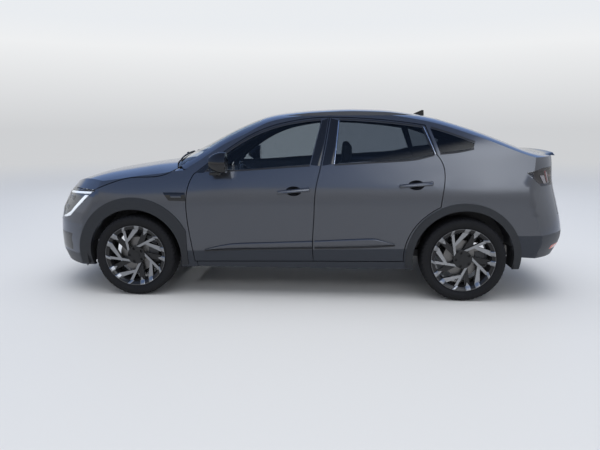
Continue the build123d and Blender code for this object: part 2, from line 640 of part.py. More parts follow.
def bar(start, end, start_half, end_half):
    """Tapered bar in the wheel's plane, from a start to an end point seen from outboard."""
    (u0, v0), (u1, v1) = start, end
    length = math.hypot(u1 - u0, v1 - v0)
    nu, nv = (v1 - v0) / length, (u0 - u1) / length
    corners = [(u0 + nu * start_half, v0 + nv * start_half), (u1 + nu * end_half, v1 + nv * end_half),
               (u1 - nu * end_half, v1 - nv * end_half), (u0 - nu * start_half, v0 - nv * start_half)]
    face = Face(Wire.make_polygon([Vector(-u, 0, v) for u, v in corners]))
    return extrude(face, amount=RIM_WIDTH / 2, dir=(0, 1, 0))


def polar(radius, degrees):
    return radius * math.cos(math.radians(degrees)), radius * math.sin(math.radians(degrees))


def rim():
    """Rim with five twisted spokes: each is a thin leg set off the centre with a broad blade that forks
    from it, and between them lower blades rise to a pointed tip at the rim."""
    edge = RIM_WIDTH / 2
    flange = 8
    well = RIM_SEAT_RADIUS - 18
    lip, bead = RIM_LIP_RADIUS, RIM_SEAT_RADIUS
    ring = turned([(lip, -edge), (lip, flange - edge), (bead, flange - edge), (bead, 45 - edge),
                   (well, 62 - edge), (well, edge - 62), (bead, edge - 45), (bead, edge - flange),
                   (lip, edge - flange), (lip, edge), (lip - 8, edge), (bead - RIM_WALL, edge - 12),
                   (well - RIM_WALL, edge - 50), (well - RIM_WALL, 50 - edge),
                   (bead - RIM_WALL, 20 - edge), (lip - 8, -edge)])
    reach = bead - RIM_WALL / 2
    hub_top, rim_top = HUB_FACE + SPOKE_DEPTH - 2, edge - 14
    seat = bead - 2
    raised = turned([(HUB_RADIUS - 20, HUB_FACE + 2), (HUB_RADIUS - 10, hub_top), (seat, rim_top),
                     (seat, rim_top - SPOKE_DEPTH)])
    lowered = turned([(HUB_RADIUS - 24, HUB_FACE + 4), (HUB_RADIUS - 14, hub_top - BLADE_DROP),
                      (seat - 1, rim_top - BLADE_DROP), (seat - 1, rim_top + 4 - SPOKE_DEPTH)])
    fork = polar(reach * 0.57, LEG_RIM_ANGLE + 13)
    root = polar(HUB_RADIUS - 10, LEG_HUB_ANGLE + 6)
    legs = bar(root, polar(reach, LEG_RIM_ANGLE), LEG_HALF, LEG_HALF * 1.3)
    legs += bar(fork, polar(reach, LEG_RIM_ANGLE - FORK_ANGLE), LEG_HALF, FORK_HALF)
    tip = polar(reach, TIP_ANGLE)
    legs += bar(polar(reach * 0.82, TIP_ANGLE), tip, 1, FORK_HALF)
    blade = bar(polar(HUB_RADIUS - 20, TIP_ANGLE + 8), tip, FORK_HALF * 1.1, FORK_HALF)
    spokes = [Rot(0, 360 / SPOKE_COUNT * k, 0) * piece for k in range(SPOKE_COUNT)
              for piece in (legs & raised, blade & lowered)]
    hub = barrel(0, HUB_FACE, HUB_FACE + SPOKE_DEPTH, 0, HUB_RADIUS)
    hub += barrel(0, HUB_FACE, HUB_FACE + SPOKE_DEPTH + 4, 0, CAP_RADIUS)
    wheel = ring + hub + spokes
    for k in range(SPOKE_COUNT):
        u, v = polar(BOLT_CIRCLE / 2, 360 / SPOKE_COUNT * k)
        pocket = barrel(0, HUB_FACE + SPOKE_DEPTH - BOLT_POCKET, RIM_WIDTH, 0, BOLT_RADIUS)
        wheel -= Pos(u, 0, v) * pocket
    return wheel - barrel(0, 0, HUB_FACE + SPOKE_DEPTH / 2, 0, SPINDLE_RADIUS + SPINDLE_CLEARANCE)


def tyre():
    bead = RIM_WIDTH / 2 - 8 - SEAT_GAP
    bulge = TYRE_WIDTH / 2
    tread = bulge - 24
    widest = RIM_LIP_RADIUS + 44
    foot = RIM_SEAT_RADIUS + SEAT_GAP
    lip = RIM_LIP_RADIUS + 1
    return turned([(foot, -bead), (lip, -bead), (widest, -bulge), (TYRE_RADIUS, -tread),
                   (TYRE_RADIUS, tread), (widest, bulge), (lip, bead), (foot, bead)])


def brake_disc():
    bore = SPINDLE_RADIUS + SPINDLE_CLEARANCE
    rotor = 8
    hat = HUB_RADIUS
    return turned([(bore, HUB_FACE - 7), (hat - 8, HUB_FACE - 7), (hat - 8, rotor), (DISC_RADIUS, rotor),
                   (DISC_RADIUS, rotor + DISC_THICKNESS), (hat, rotor + DISC_THICKNESS), (hat, HUB_FACE),
                   (bore, HUB_FACE)])


def carrier():
    """Hub carrier with its spindle and a brake caliper round the disc."""
    piece = barrel(0, -78, 0, 0, 46) + barrel(0, -20, HUB_FACE + SPOKE_DEPTH / 2 - 4, 0, SPINDLE_RADIUS)
    piece += Pos(-70, -40, 0) * Box(140, 40, 60)
    caliper = Pos(-142, -2, 0) * Box(92, 84, 120)
    slot = barrel(0, 8 - 5, 8 + DISC_THICKNESS + 5, 0, DISC_RADIUS + 6)
    piece += fillet(caliper.edges().filter_by(Axis.Z), 12) - slot
    return piece


wheel_piece, tyre_piece, disc_piece = rim(), tyre(), brake_disc()
for axle, axle_x, wheel_y in (("front", FRONT_AXLE_X, FRONT_WHEEL_Y), ("rear", REAR_AXLE_X, REAR_WHEEL_Y)):
    place = Pos(axle_x, wheel_y, AXLE_Z)
    parts[f"wheel_{axle}_left"] = place * wheel_piece
    parts[f"tyre_{axle}_left"] = place * tyre_piece
    parts[f"brake_disc_{axle}_left"] = place * disc_piece

# Front knuckles with their struts, lower arms and subframe
BALL_RADIUS = 16
BALL_CLEARANCE = 0.1
knuckle = Pos(FRONT_AXLE_X, FRONT_WHEEL_Y, AXLE_Z) * carrier()
leg_top = AXLE_Z - 20
leg_foot = KINGPIN_FOOT_Z + 2
leg = Pos(FRONT_AXLE_X, KINGPIN_FOOT_Y, (leg_top + leg_foot) / 2) * Box(44, 44, leg_top - leg_foot)
knuckle += leg - Pos(*ball) * Sphere(BALL_RADIUS + BALL_CLEARANCE)
strut_foot = ball + lean * 250
strut_length = (strut_top - strut_foot).length
strut = extrude(Plane(strut_foot, z_dir=lean) * Circle(STRUT_RADIUS), amount=strut_length)
knuckle += strut
bracket_y = (strut_foot.Y + FRONT_WHEEL_Y - 60) / 2
knuckle += Pos(FRONT_AXLE_X, bracket_y, AXLE_Z + 95) * Box(40, FRONT_WHEEL_Y - 60 - strut_foot.Y + 30, 190)
parts["knuckle_left"] = keep_largest(knuckle)

ARM_Z = 160
subframe = block(1150, 1640, -445, 445, 180, 240)
for sign in (1, -1):
    arm = Pos(FRONT_AXLE_X, sign * (KINGPIN_FOOT_Y + 360) / 2, ARM_Z) * Box(70, KINGPIN_FOOT_Y - 330, 20)
    stud = Pos(FRONT_AXLE_X, sign * KINGPIN_FOOT_Y, (ARM_Z + KINGPIN_FOOT_Z) / 2)
    subframe += arm + stud * Cylinder(9, KINGPIN_FOOT_Z - ARM_Z)
    subframe += Pos(FRONT_AXLE_X, sign * KINGPIN_FOOT_Y, KINGPIN_FOOT_Z) * Sphere(BALL_RADIUS)
    subframe += Pos(FRONT_AXLE_X, sign * 365, (ARM_Z + 200) / 2) * Box(90, 50, 60)
    for x in (1185, 1605):
        subframe += block(x - 25, x + 25, sign * RAIL_Y - 18, sign * RAIL_Y + 18, 230, RAIL_FOOT - SEAT_GAP)
parts["front_subframe"] = keep_largest(subframe)

# Rear axle: a twist beam with trailing arms
arm_front = station(SEAT_WALL_X) - SEAT_GAP
arm_rear = REAR_AXLE_X - 33
rear_axle = barrel(REAR_AXLE_X + 130, -560, 560, AXLE_Z - 12, 34)
for sign in (1, -1):
    end = Pos(REAR_AXLE_X, REAR_WHEEL_Y, AXLE_Z) * carrier()
    arm = Pos((arm_front + arm_rear) / 2, 545, AXLE_Z - 12) * Box(arm_front - arm_rear, 60, 60)
    link = Pos(REAR_AXLE_X, 630, AXLE_Z) * Box(70, 190, 70)
    half = end + arm + link
    rear_axle += half if sign > 0 else mirrored(half)
parts["rear_axle"] = keep_largest(rear_axle)

# Cabin: dashboard with steering column, steering wheel, seats
dash = side_prism(cornered([(985, 640), (985, 990), (900, 1010), (640, 985), (575, 930), (610, 780),
                            (760, 640)]), -636, 636)
column_tilt = math.radians(STEERING_COLUMN_TILT)
column_axis = Vector(-math.cos(column_tilt), 0, math.sin(column_tilt))
wheel_centre = Vector(station(STEERING_WHEEL_X), STEERING_WHEEL_Y, level(STEERING_WHEEL_Z))
wheel_plane = Plane(wheel_centre, x_dir=(0, 1, 0), z_dir=column_axis)
COLUMN_GAP = 0.3
column_top = wheel_centre - column_axis * (30 + COLUMN_GAP)
column = extrude(Plane(column_top, z_dir=-column_axis) * Circle(32), amount=240)
parts["dashboard"] = keep_largest(dash + column)
ring = wheel_plane * Torus(STEERING_WHEEL_RADIUS, 15)
boss = wheel_plane * Pos(0, 0, -12) * Cylinder(58, 36)
cross_spoke = wheel_plane * Pos(0, 0, -8) * Box(2 * STEERING_WHEEL_RADIUS, 34, 16)
foot_spoke = wheel_plane * Pos(0, STEERING_WHEEL_RADIUS / 2, -8) * Box(40, STEERING_WHEEL_RADIUS, 16)
parts["steering_wheel"] = keep_largest(ring + boss + cross_spoke + foot_spoke)


def seat(y0, y1):
    """Front seat: cushion, leaning back and headrest in one form."""
    form = side_prism(cornered([(330, 400), (345, 545), (-140, 510), (-345, 1085), (-440, 1085),
                                (-265, 470), (-250, 400)]), y0, y1)
    head = cornered([(-345, 1085), (-352, 1270), (-430, 1270), (-440, 1085)])
    head = side_prism(head, y0 + 110, y1 - 110)
    foot = block(-200, 250, y0 + 60, y1 - 60, FLOOR_TOP + SEAT_GAP, 400)
    return form + head + foot


parts["seat_front_left"] = seat(150, 620)
bench = side_prism(cornered([(-470, 400), (-455, 560), (-890, 530), (-1085, 1060), (-1175, 1060),
                             (-985, 506), (-932, 506), (-932, 400)]), -560, 560)
bench_foot = block(-930, -480, 135, 500, FLOOR_TOP + SEAT_GAP, 400)
parts["rear_bench"] = bench + bench_foot + mirrored(bench_foot)

# Roof aerial fin
fin = side_prism(cornered([(-980, 1500), (-1020, 1532), (-1090, 1562), (-1106, 1560), (-1112, 1480)]),
                 -16, 16)
parts["roof_fin"] = keep_largest(fin - under_roof(-SEAT_GAP))

# The right side mirrors the left
for name in list(parts):
    if name.endswith("_left"):
        parts[name[:-4] + "right"] = mirrored(parts[name])

os.makedirs("parts", exist_ok=True)
for name, piece in parts.items():
    export_step(piece, f"parts/{name}.step")
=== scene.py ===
import bmesh, bpy
import numpy as np
from math import cos, pi, radians, sin
from mathutils import Matrix, Vector


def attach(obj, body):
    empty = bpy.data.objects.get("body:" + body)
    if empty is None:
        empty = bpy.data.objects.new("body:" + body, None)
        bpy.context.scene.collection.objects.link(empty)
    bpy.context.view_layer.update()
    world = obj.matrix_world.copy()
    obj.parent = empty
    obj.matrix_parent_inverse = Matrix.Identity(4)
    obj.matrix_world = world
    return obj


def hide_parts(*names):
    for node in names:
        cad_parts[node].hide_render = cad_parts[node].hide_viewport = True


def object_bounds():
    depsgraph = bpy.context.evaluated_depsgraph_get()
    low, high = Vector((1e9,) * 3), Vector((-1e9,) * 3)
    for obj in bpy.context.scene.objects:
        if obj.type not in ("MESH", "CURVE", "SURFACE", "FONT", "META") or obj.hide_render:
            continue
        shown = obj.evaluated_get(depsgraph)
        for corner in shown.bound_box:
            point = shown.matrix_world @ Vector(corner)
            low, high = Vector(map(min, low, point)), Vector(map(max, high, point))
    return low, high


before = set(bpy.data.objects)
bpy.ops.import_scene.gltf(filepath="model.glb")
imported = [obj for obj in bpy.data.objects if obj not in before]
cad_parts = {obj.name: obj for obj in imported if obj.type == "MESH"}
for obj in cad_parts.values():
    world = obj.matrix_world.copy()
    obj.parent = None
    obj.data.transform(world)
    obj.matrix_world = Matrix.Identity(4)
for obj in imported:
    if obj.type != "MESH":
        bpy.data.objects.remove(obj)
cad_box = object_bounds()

# Photo studio: a pale floor that fades into a pale backdrop, a soft box overhead, a long strip along each
# side and a broad overhead light, with a blue ceiling and a glow for gloss, and a camera at eye height.
CAMERA_AT = Vector((-0.330, 5.155, 1.391))
CAMERA_YAW, CAMERA_PITCH, CAMERA_ROLL = radians(4.23), radians(-10.21), radians(-0.20)
FOCAL_PIXELS, PHOTO_WIDTH, SENSOR_WIDTH = 533, 600, 36
CAR_MIDDLE = (-0.2, 0.0, 0.7)
FLOOR_REACH, FLOOR_FADE, FLOOR_GREY, FLOOR_ROUGHNESS = 400.0, (4.0, 22.0), (0.70, 0.70, 0.70, 1), 0.55
BACKDROP = ((0.0, (0.62, 0.63, 0.645, 1)), (0.14, (0.86, 0.87, 0.88, 1)), (0.20, (0.80, 0.83, 0.87, 1)),
            (0.26, (0.35, 0.51, 0.87, 1)), (0.60, (0.22, 0.35, 0.66, 1)), (1.0, (0.12, 0.19, 0.38, 1)))
SKY_LIGHT, SKY_STRENGTH, PALE_TOP = (0.84, 0.90, 1.0, 1), 0.5, 0.18
GLOW, GLOW_WAY, GLOW_SPAN = (3.4, 3.55, 3.75, 1), (-0.36, 0.82, 0.44), (0.925, 0.998)
SUN_STRENGTH, SUN_SPREAD, SUN_LEAN = 1.1, radians(50), radians(-12)


def grid_piece(name, points, body=None, material=None, wrap_u=False, wrap_v=False):
    """Smooth mesh over one or more grids of points[..., u, v], closed round where a wrap is set. Its quads
    face away from the piece's own middle where it is closed round, or else from the car's."""
    index = np.arange(points.size // 3).reshape(points.shape[:-1])
    if wrap_u:
        index = np.concatenate([index, index[..., :1, :]], axis=-2)
    if wrap_v:
        index = np.concatenate([index, index[..., :1]], axis=-1)
    near, far = index[..., :-1], index[..., 1:]
    quads = np.stack([near[..., :-1, :], near[..., 1:, :], far[..., 1:, :], far[..., :-1, :]], axis=-1)
    quads = quads.reshape(-1, 4)
    corner = points.reshape(-1, 3)[quads]
    middle = corner.mean((0, 1)) if wrap_u or wrap_v else np.array(CAR_MIDDLE)
    facing = np.cross(corner[:, 2] - corner[:, 0], corner[:, 3] - corner[:, 1])
    if np.sum(facing * (corner.mean(1) - middle)) < 0:
        quads = quads[:, ::-1]
    mesh = bpy.data.meshes.new(name)
    mesh.from_pydata(points.reshape(-1, 3).tolist(), [], quads.tolist())
    mesh.polygons.foreach_set("use_smooth", np.full(len(quads), True))
    mesh.update()
    piece = bpy.data.objects.new(name, mesh)
    bpy.context.scene.collection.objects.link(piece)
    if material:
        mesh.materials.append(material)
    if body:
        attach(piece, body)
    return piece


def new_nodes(tree, kinds):
    """Shader nodes of the kinds named, in that order."""
    return [tree.nodes.new("ShaderNode" + kind) for kind in kinds.split()]


def sum_node(tree, operation, *values):
    """Math node on sockets or numbers; gives its output socket."""
    math = tree.nodes.new("ShaderNodeMath")
    math.operation = operation
    for slot, value in zip(math.inputs, values):
        if isinstance(value, (int, float)):
            slot.default_value = value
        else:
            tree.links.new(value, slot)
    return math.outputs[0]


def bare_material(name):
    """New material, with its node tree and its base shader."""
    made = bpy.data.materials.new(name)
    made.use_nodes = True
    return made, made.node_tree, made.node_tree.nodes["Principled BSDF"]


def round_floor(reach):
    """Floor at z = 0: x = r cos(a), y = r sin(a), with rings that widen outwards."""
    turn = np.linspace(0, 2 * pi, 49)[:-1, None]
    ring = reach * np.linspace(0, 1, 24)**3
    return np.stack([ring * np.cos(turn), ring * np.sin(turn), 0 * ring * turn], axis=-1)


def floor_finish():
    """Pale floor that fades with its distance from the car into the backdrop's foot, with no horizon."""
    made, tree, near = bare_material("studio_floor")
    link = tree.links.new
    far, mix, place, away, fade = new_nodes(tree, "Emission MixShader TexCoord VectorMath MapRange")
    near.inputs["Base Color"].default_value = FLOOR_GREY
    near.inputs["Roughness"].default_value = FLOOR_ROUGHNESS
    far.inputs["Color"].default_value = BACKDROP[0][1]
    away.operation = "LENGTH"
    fade.interpolation_type = "SMOOTHSTEP"
    fade.inputs["From Min"].default_value, fade.inputs["From Max"].default_value = FLOOR_FADE
    link(place.outputs["Object"], away.inputs[0])
    link(away.outputs["Value"], fade.inputs["Value"])
    link(fade.outputs[0], mix.inputs[0])
    link(near.outputs[0], mix.inputs[1])
    link(far.outputs[0], mix.inputs[2])
    link(mix.outputs[0], tree.nodes["Material Output"].inputs["Surface"])
    return made


grid_piece("studio_floor", round_floor(FLOOR_REACH), material=floor_finish(), wrap_u=True)


def studio_world():
    """World that lights softly and shows the camera a backdrop that pales upwards to PALE_TOP and stays pale;
    gloss sees it turn blue overhead, with one soft glow high behind the camera."""
    world = bpy.data.worlds.new("studio_sky")
    world.use_nodes = True
    tree = world.node_tree
    link = tree.links.new
    soft = tree.nodes["Background"]
    soft.inputs["Color"].default_value = SKY_LIGHT
    soft.inputs["Strength"].default_value = SKY_STRENGTH
    shown, pick, ray, place, part, tone = new_nodes(
        tree, "Background MixShader LightPath TexCoord SeparateXYZ ValToRGB")
    toward, lobe, glow = new_nodes(tree, "VectorMath MapRange Mix")
    stops = tone.color_ramp.elements
    for height, _ in BACKDROP[1:-1]:
        stops.new(height)
    for stop, (height, colour) in zip(stops, BACKDROP):
        stop.position, stop.color = height, colour
    camera_ray, gloss_ray = ray.outputs["Is Camera Ray"], ray.outputs["Is Glossy Ray"]
    ceiling = sum_node(tree, "MULTIPLY_ADD", camera_ray, PALE_TOP - 1, 1.0)
    link(place.outputs["Generated"], part.inputs[0])
    link(sum_node(tree, "MINIMUM", ceiling, part.outputs["Z"]), tone.inputs["Fac"])
    toward.operation = "DOT_PRODUCT"
    toward.inputs[1].default_value = Vector(GLOW_WAY).normalized()
    lobe.interpolation_type = "SMOOTHSTEP"
    lobe.inputs["From Min"].default_value, lobe.inputs["From Max"].default_value = GLOW_SPAN
    link(gloss_ray, lobe.inputs["To Max"])
    glow.data_type = "RGBA"
    glow.inputs["B"].default_value = GLOW
    link(place.outputs["Generated"], toward.inputs[0])
    link(toward.outputs["Value"], lobe.inputs["Value"])
    link(lobe.outputs[0], glow.inputs["Factor"])
    link(tone.outputs["Color"], glow.inputs["A"])
    link(glow.outputs["Result"], shown.inputs["Color"])
    seen = sum_node(tree, "MAXIMUM", camera_ray, gloss_ray)
    link(sum_node(tree, "MAXIMUM", seen, ray.outputs["Is Transmission Ray"]), pick.inputs[0])
    link(soft.outputs[0], pick.inputs[1])
    link(shown.outputs[0], pick.inputs[2])
    link(pick.outputs[0], tree.nodes["World Output"].inputs["Surface"])
    return world


bpy.context.scene.world = studio_world()
bpy.context.scene.view_settings.view_transform = "Standard"


def soft_box(name, at, aim, size, power):
    """Rectangular lamp at a point, facing another point; polished surfaces show the backdrop in its place."""
    lamp = bpy.data.lights.new(name, "AREA")
    lamp.shape = "RECTANGLE"
    lamp.size, lamp.size_y = size
    lamp.energy = power
    holder = bpy.data.objects.new(name, lamp)
    holder.location = at
    holder.rotation_euler = (Vector(aim) - Vector(at)).to_track_quat("-Z", "Y").to_euler()
    holder.visible_glossy = False
    bpy.context.scene.collection.objects.link(holder)


soft_box("roof_box", (-0.4, 0.0, 6.0), (-0.4, 0, 0), (7.0, 4.5), 130)
soft_box("left_strip", (-0.6, 7.5, 4.2), (0, 0, 0.7), (9.0, 1.6), 110)
soft_box("right_strip", (0.6, -7.5, 4.2), (0, 0, 0.7), (9.0, 1.6), 110)
overhead = bpy.data.objects.new("overhead", bpy.data.lights.new("overhead", "SUN"))
overhead.data.energy = SUN_STRENGTH
overhead.data.angle = SUN_SPREAD
overhead.visible_glossy = False
overhead.rotation_euler = (SUN_LEAN, 0, 0)
bpy.context.scene.collection.objects.link(overhead)

ahead = Vector((sin(CAMERA_YAW) * cos(CAMERA_PITCH), -cos(CAMERA_YAW) * cos(CAMERA_PITCH), sin(CAMERA_PITCH)))
right = ahead.cross(Vector((0, 0, 1))).normalized()
up = right.cross(ahead)
level, lean = cos(CAMERA_ROLL), sin(CAMERA_ROLL)
right, up = right * level + up * lean, up * level - right * lean
camera = bpy.data.objects.new("camera", bpy.data.cameras.new("camera"))
turned = Matrix((right, up, -ahead)).transposed().to_quaternion()
camera.matrix_world = Matrix.LocRotScale(CAMERA_AT, turned, None)
camera.data.lens = SENSOR_WIDTH * FOCAL_PIXELS / PHOTO_WIDTH
camera.data.clip_end = 2 * FLOOR_REACH
bpy.context.scene.collection.objects.link(camera)
bpy.context.scene.camera = camera

# Floor pan, wheelhouses, subframe, rear axle, exhaust and engine block: pressed and cast metal under
# a seam-sealed satin coat, bolted and welded up below the cabin.
SEALER_BLACK, PIPE_GREY, CAST_GREY = (0.030, 0.030, 0.032), (0.13, 0.125, 0.12), (0.30, 0.30, 0.31)
MERGE_DISTANCE, BUMP_DEPTH, COAT_ROUGHNESS = 0.00003, 0.001, 0.04


def soft_edges():
    """Geometry group for a solid's loose triangles: merges them and keeps only edges over an angle sharp."""
    group = bpy.data.node_groups.new("soft_edges", "GeometryNodeTree")
    group.interface.new_socket("Geometry", in_out="INPUT", socket_type="NodeSocketGeometry")
    group.interface.new_socket("Sharp Angle", in_out="INPUT", socket_type="NodeSocketFloat")
    group.interface.new_socket("Geometry", in_out="OUTPUT", socket_type="NodeSocketGeometry")
    node, link = group.nodes.new, group.links.new
    given, result = node("NodeGroupInput"), node("NodeGroupOutput")
    merge = node("GeometryNodeMergeByDistance")
    smooth, crease = node("GeometryNodeSetShadeSmooth"), node("GeometryNodeSetShadeSmooth")
    merge.inputs["Distance"].default_value = MERGE_DISTANCE
    crease.domain = "EDGE"
    crease.inputs["Shade Smooth"].default_value = False
    angle, sharp = node("GeometryNodeInputMeshEdgeAngle"), node("FunctionNodeCompare")
    link(given.outputs["Geometry"], merge.inputs["Geometry"])
    link(merge.outputs["Geometry"], smooth.inputs["Geometry"])
    link(smooth.outputs["Geometry"], crease.inputs["Geometry"])
    link(angle.outputs["Unsigned Angle"], sharp.inputs[0])
    link(given.outputs["Sharp Angle"], sharp.inputs[1])
    link(sharp.outputs[0], crease.inputs["Selection"])
    link(crease.outputs["Geometry"], result.inputs["Geometry"])
    return group


SOFT_EDGES = soft_edges()


def dress(name, material, sharp=32.0):
    """Gives a solid its material and soft shading up to an edge angle in degrees."""
    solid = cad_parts[name]
    solid.data.materials.clear()
    solid.data.materials.append(material)
    shading = solid.modifiers.new("soft_edges", "NODES")
    shading.node_group = SOFT_EDGES
    socket = next(s.identifier for s in SOFT_EDGES.interface.items_tree if s.name == "Sharp Angle")
    shading[socket] = radians(sharp)


def shader_group(name, given, result):
    """Empty shader group with named inputs (name, kind, value) and outputs (name, kind)."""
    group = bpy.data.node_groups.new(name, "ShaderNodeTree")
    for label, kind, value in given:
        socket = group.interface.new_socket(label, in_out="INPUT", socket_type=f"NodeSocket{kind}")
        socket.default_value = value
    for label, kind in result:
        group.interface.new_socket(label, in_out="OUTPUT", socket_type=f"NodeSocket{kind}")
    return group, group.nodes.new("NodeGroupInput").outputs, group.nodes.new("NodeGroupOutput").inputs


def surface_tone():
    """Shader group: uneven colour and roughness and a fine grain, from noise on the piece's coordinates."""
    group, given, result = shader_group(
        "surface_tone",
        [("Color", "Color", (0.5, 0.5, 0.5, 1)), ("Roughness", "Float", 0.5), ("Patch Scale", "Float", 6.0),
         ("Grain Scale", "Float", 900.0), ("Spread", "Float", 0.1)],
        [("Color", "Color"), ("Roughness", "Float"), ("Grain", "Float")])
    link = group.links.new
    place, patch, grain, scaled = new_nodes(group, "TexCoord TexNoise TexNoise VectorMath")
    for noise, scale in ((patch, "Patch Scale"), (grain, "Grain Scale")):
        link(place.outputs["Object"], noise.inputs["Vector"])
        link(given[scale], noise.inputs["Scale"])
    patch.inputs["Detail"].default_value = 5.0
    swing = sum_node(group, "SUBTRACT", patch.outputs["Fac"], 0.5)
    swing = sum_node(group, "MULTIPLY", swing, given["Spread"])
    scaled.operation = "SCALE"
    link(given["Color"], scaled.inputs[0])
    link(sum_node(group, "ADD", swing, 1.0), scaled.inputs["Scale"])
    link(scaled.outputs[0], result["Color"])
    link(sum_node(group, "ADD", given["Roughness"], swing), result["Roughness"])
    link(grain.outputs["Fac"], result["Grain"])
    return group


SURFACE_TONE = surface_tone()


def finish(name, colour, roughness, metallic=0.0, spread=0.12, patch=6.0, grain=900.0, relief=0.02, coat=0.0,
           shine=0.5):
    """Material with the surface_tone group on its colour, roughness and grain."""
    made, tree, base = bare_material(name)
    link = tree.links.new
    tone, bump = new_nodes(tree, "Group Bump")
    tone.node_tree = SURFACE_TONE
    for socket, value in (("Color", (*colour, 1)), ("Roughness", roughness), ("Patch Scale", patch),
                          ("Grain Scale", grain), ("Spread", spread)):
        tone.inputs[socket].default_value = value
    bump.inputs["Strength"].default_value = relief
    bump.inputs["Distance"].default_value = BUMP_DEPTH
    for socket, value in (("Metallic", metallic), ("Specular IOR Level", shine), ("Coat Weight", coat),
                          ("Coat Roughness", COAT_ROUGHNESS)):
        base.inputs[socket].default_value = value
    link(tone.outputs["Color"], base.inputs["Base Color"])
    link(tone.outputs["Roughness"], base.inputs["Roughness"])
    link(tone.outputs["Grain"], bump.inputs["Height"])
    link(bump.outputs["Normal"], base.inputs["Normal"])
    return made


sealed_steel = finish("sealed_steel", SEALER_BLACK, 0.55, spread=0.3, relief=0.15, grain=300)
for name in ("floor_pan", "front_subframe", "rear_axle"):
    dress(name, sealed_steel)
dress("engine_block", finish("cast_alloy", CAST_GREY, 0.45, metallic=0.9, spread=0.25, relief=0.3, grain=400))
dress("exhaust", finish("dull_pipe", PIPE_GREY, 0.42, metallic=1.0, spread=0.35, patch=14))

# Front knuckles with calipers and struts in dark cast iron, and turned iron brake discs on the hubs.
SIDES = (("left", 1), ("right", -1))
AXLES = ("front", "rear")
dark_casting = finish("dark_casting", (0.05, 0.05, 0.052), 0.5, metallic=0.6, spread=0.25, relief=0.2,
                      grain=500)
turned_iron = finish("turned_iron", (0.15, 0.145, 0.14), 0.38, metallic=1.0, spread=0.25, patch=20)
for side_name, sign in SIDES:
    dress(f"knuckle_{side_name}", dark_casting)
    for axle in AXLES:
        dress(f"brake_disc_{axle}_{side_name}", turned_iron)

# Wheels: cast alloy lacquered gloss black, then turned on a lathe so that the raised spoke faces and their
# ends on the rim are bare metal. The rim's black lip takes a share of the metal's colour as a painted sheen.
HUB_EDGE, HUB_RING, RIM_EDGE, LIP_EDGE, LIP_SHEEN = 0.067, 0.0755, 0.244, 0.2530, 0.3
SPOKE_FACE, SPOKE_SLOPE, SPOKE_BAND, FACE_TURN = 0.077, 0.074, 0.006, 0.93
SPOKES, TURNED_ROUGHNESS = 5, 0.3
WHEEL_BLACK, TURNED_FACE = (0.012, 0.012, 0.013), (0.26, 0.265, 0.275)
TIP_ROOT, TIP_END, TIP_ROOT_Y, TIP_END_Y, TIP_SLOPE, TIP_SIDE = 0.2200, 0.2560, 0.0892, 0.1048, 0.57, 0.006
SPOKE_TIPS = ((113, 0.0117, 0.72), (85, 0.021, 0.20), (138, 0.021, 0.0))
AXLE_X = {"front": 1.384, "rear": -1.336}
WHEEL_Y = {"front": 0.780, "rear": 0.785}
AXLE_Z = 0.3425


def spoke_faces_and_lip_sheen():
    """Shader group: mask of faces that look outboard at the height of the spokes' tops, and a share on the
    lip as painted sheen.
    """
    group, given, result = shader_group(
        "spoke_faces_and_lip_sheen", [("Axle X", "Float", 0.0), ("Wheel Y", "Float", 0.0)], [("Face", "Float")])
    place, spot, facing = new_nodes(group, "TexCoord SeparateXYZ SeparateXYZ")
    group.links.new(place.outputs["Object"], spot.inputs[0])
    group.links.new(place.outputs["Normal"], facing.inputs[0])

    def s(operation, *values):
        return sum_node(group, operation, *values)

    along = s("SUBTRACT", spot.outputs["X"], given["Axle X"])
    above = s("SUBTRACT", spot.outputs["Z"], AXLE_Z)
    radius = s("SQRT", s("ADD", s("MULTIPLY", along, along), s("MULTIPLY", above, above)))
    out = s("SUBTRACT", s("ABSOLUTE", spot.outputs["Y"]), given["Wheel Y"])
    face = s("MULTIPLY_ADD", s("SUBTRACT", radius, HUB_EDGE), SPOKE_SLOPE, SPOKE_FACE - SPOKE_BAND)
    mask = s("GREATER_THAN", s("ABSOLUTE", facing.outputs["Y"]), FACE_TURN)
    for test in (s("GREATER_THAN", out, face), s("GREATER_THAN", radius, HUB_RING),
                 s("LESS_THAN", radius, RIM_EDGE)):
        mask = s("MULTIPLY", mask, test)
    # The lip takes a fixed share of the bare metal's colour: a painted sheen on its black lacquer.
    lip = s("MULTIPLY", s("GREATER_THAN", radius, LIP_EDGE), s("GREATER_THAN", out, SPOKE_FACE))
    group.links.new(s("MAXIMUM", mask, s("MULTIPLY", lip, LIP_SHEEN)), result["Face"])
    return group


SPOKE_FACES_AND_LIP_SHEEN = spoke_faces_and_lip_sheen()


def two_tone(made, mask, colour, roughness, metallic, coat):
    """Gives the part of a finish under a mask another colour, roughness, metallic and coat."""
    tree = made.node_tree
    base = tree.nodes["Principled BSDF"]
    for socket, kind, other in (("Base Color", "RGBA", (*colour, 1)), ("Roughness", "FLOAT", roughness),
                                ("Metallic", "FLOAT", metallic), ("Coat Weight", "FLOAT", coat)):
        mix = tree.nodes.new("ShaderNodeMix")
        mix.data_type = kind
        factor, first, second = [next(s for s in mix.inputs if s.name == label and s.enabled)
                                 for label in ("Factor", "A", "B")]
        source = base.inputs[socket].links
        if source:
            tree.links.new(source[0].from_socket, first)
        else:
            first.default_value = base.inputs[socket].default_value
        second.default_value = other
        tree.links.new(mask, factor)
        tree.links.new(next(s for s in mix.outputs if s.enabled), base.inputs[socket])
    return made


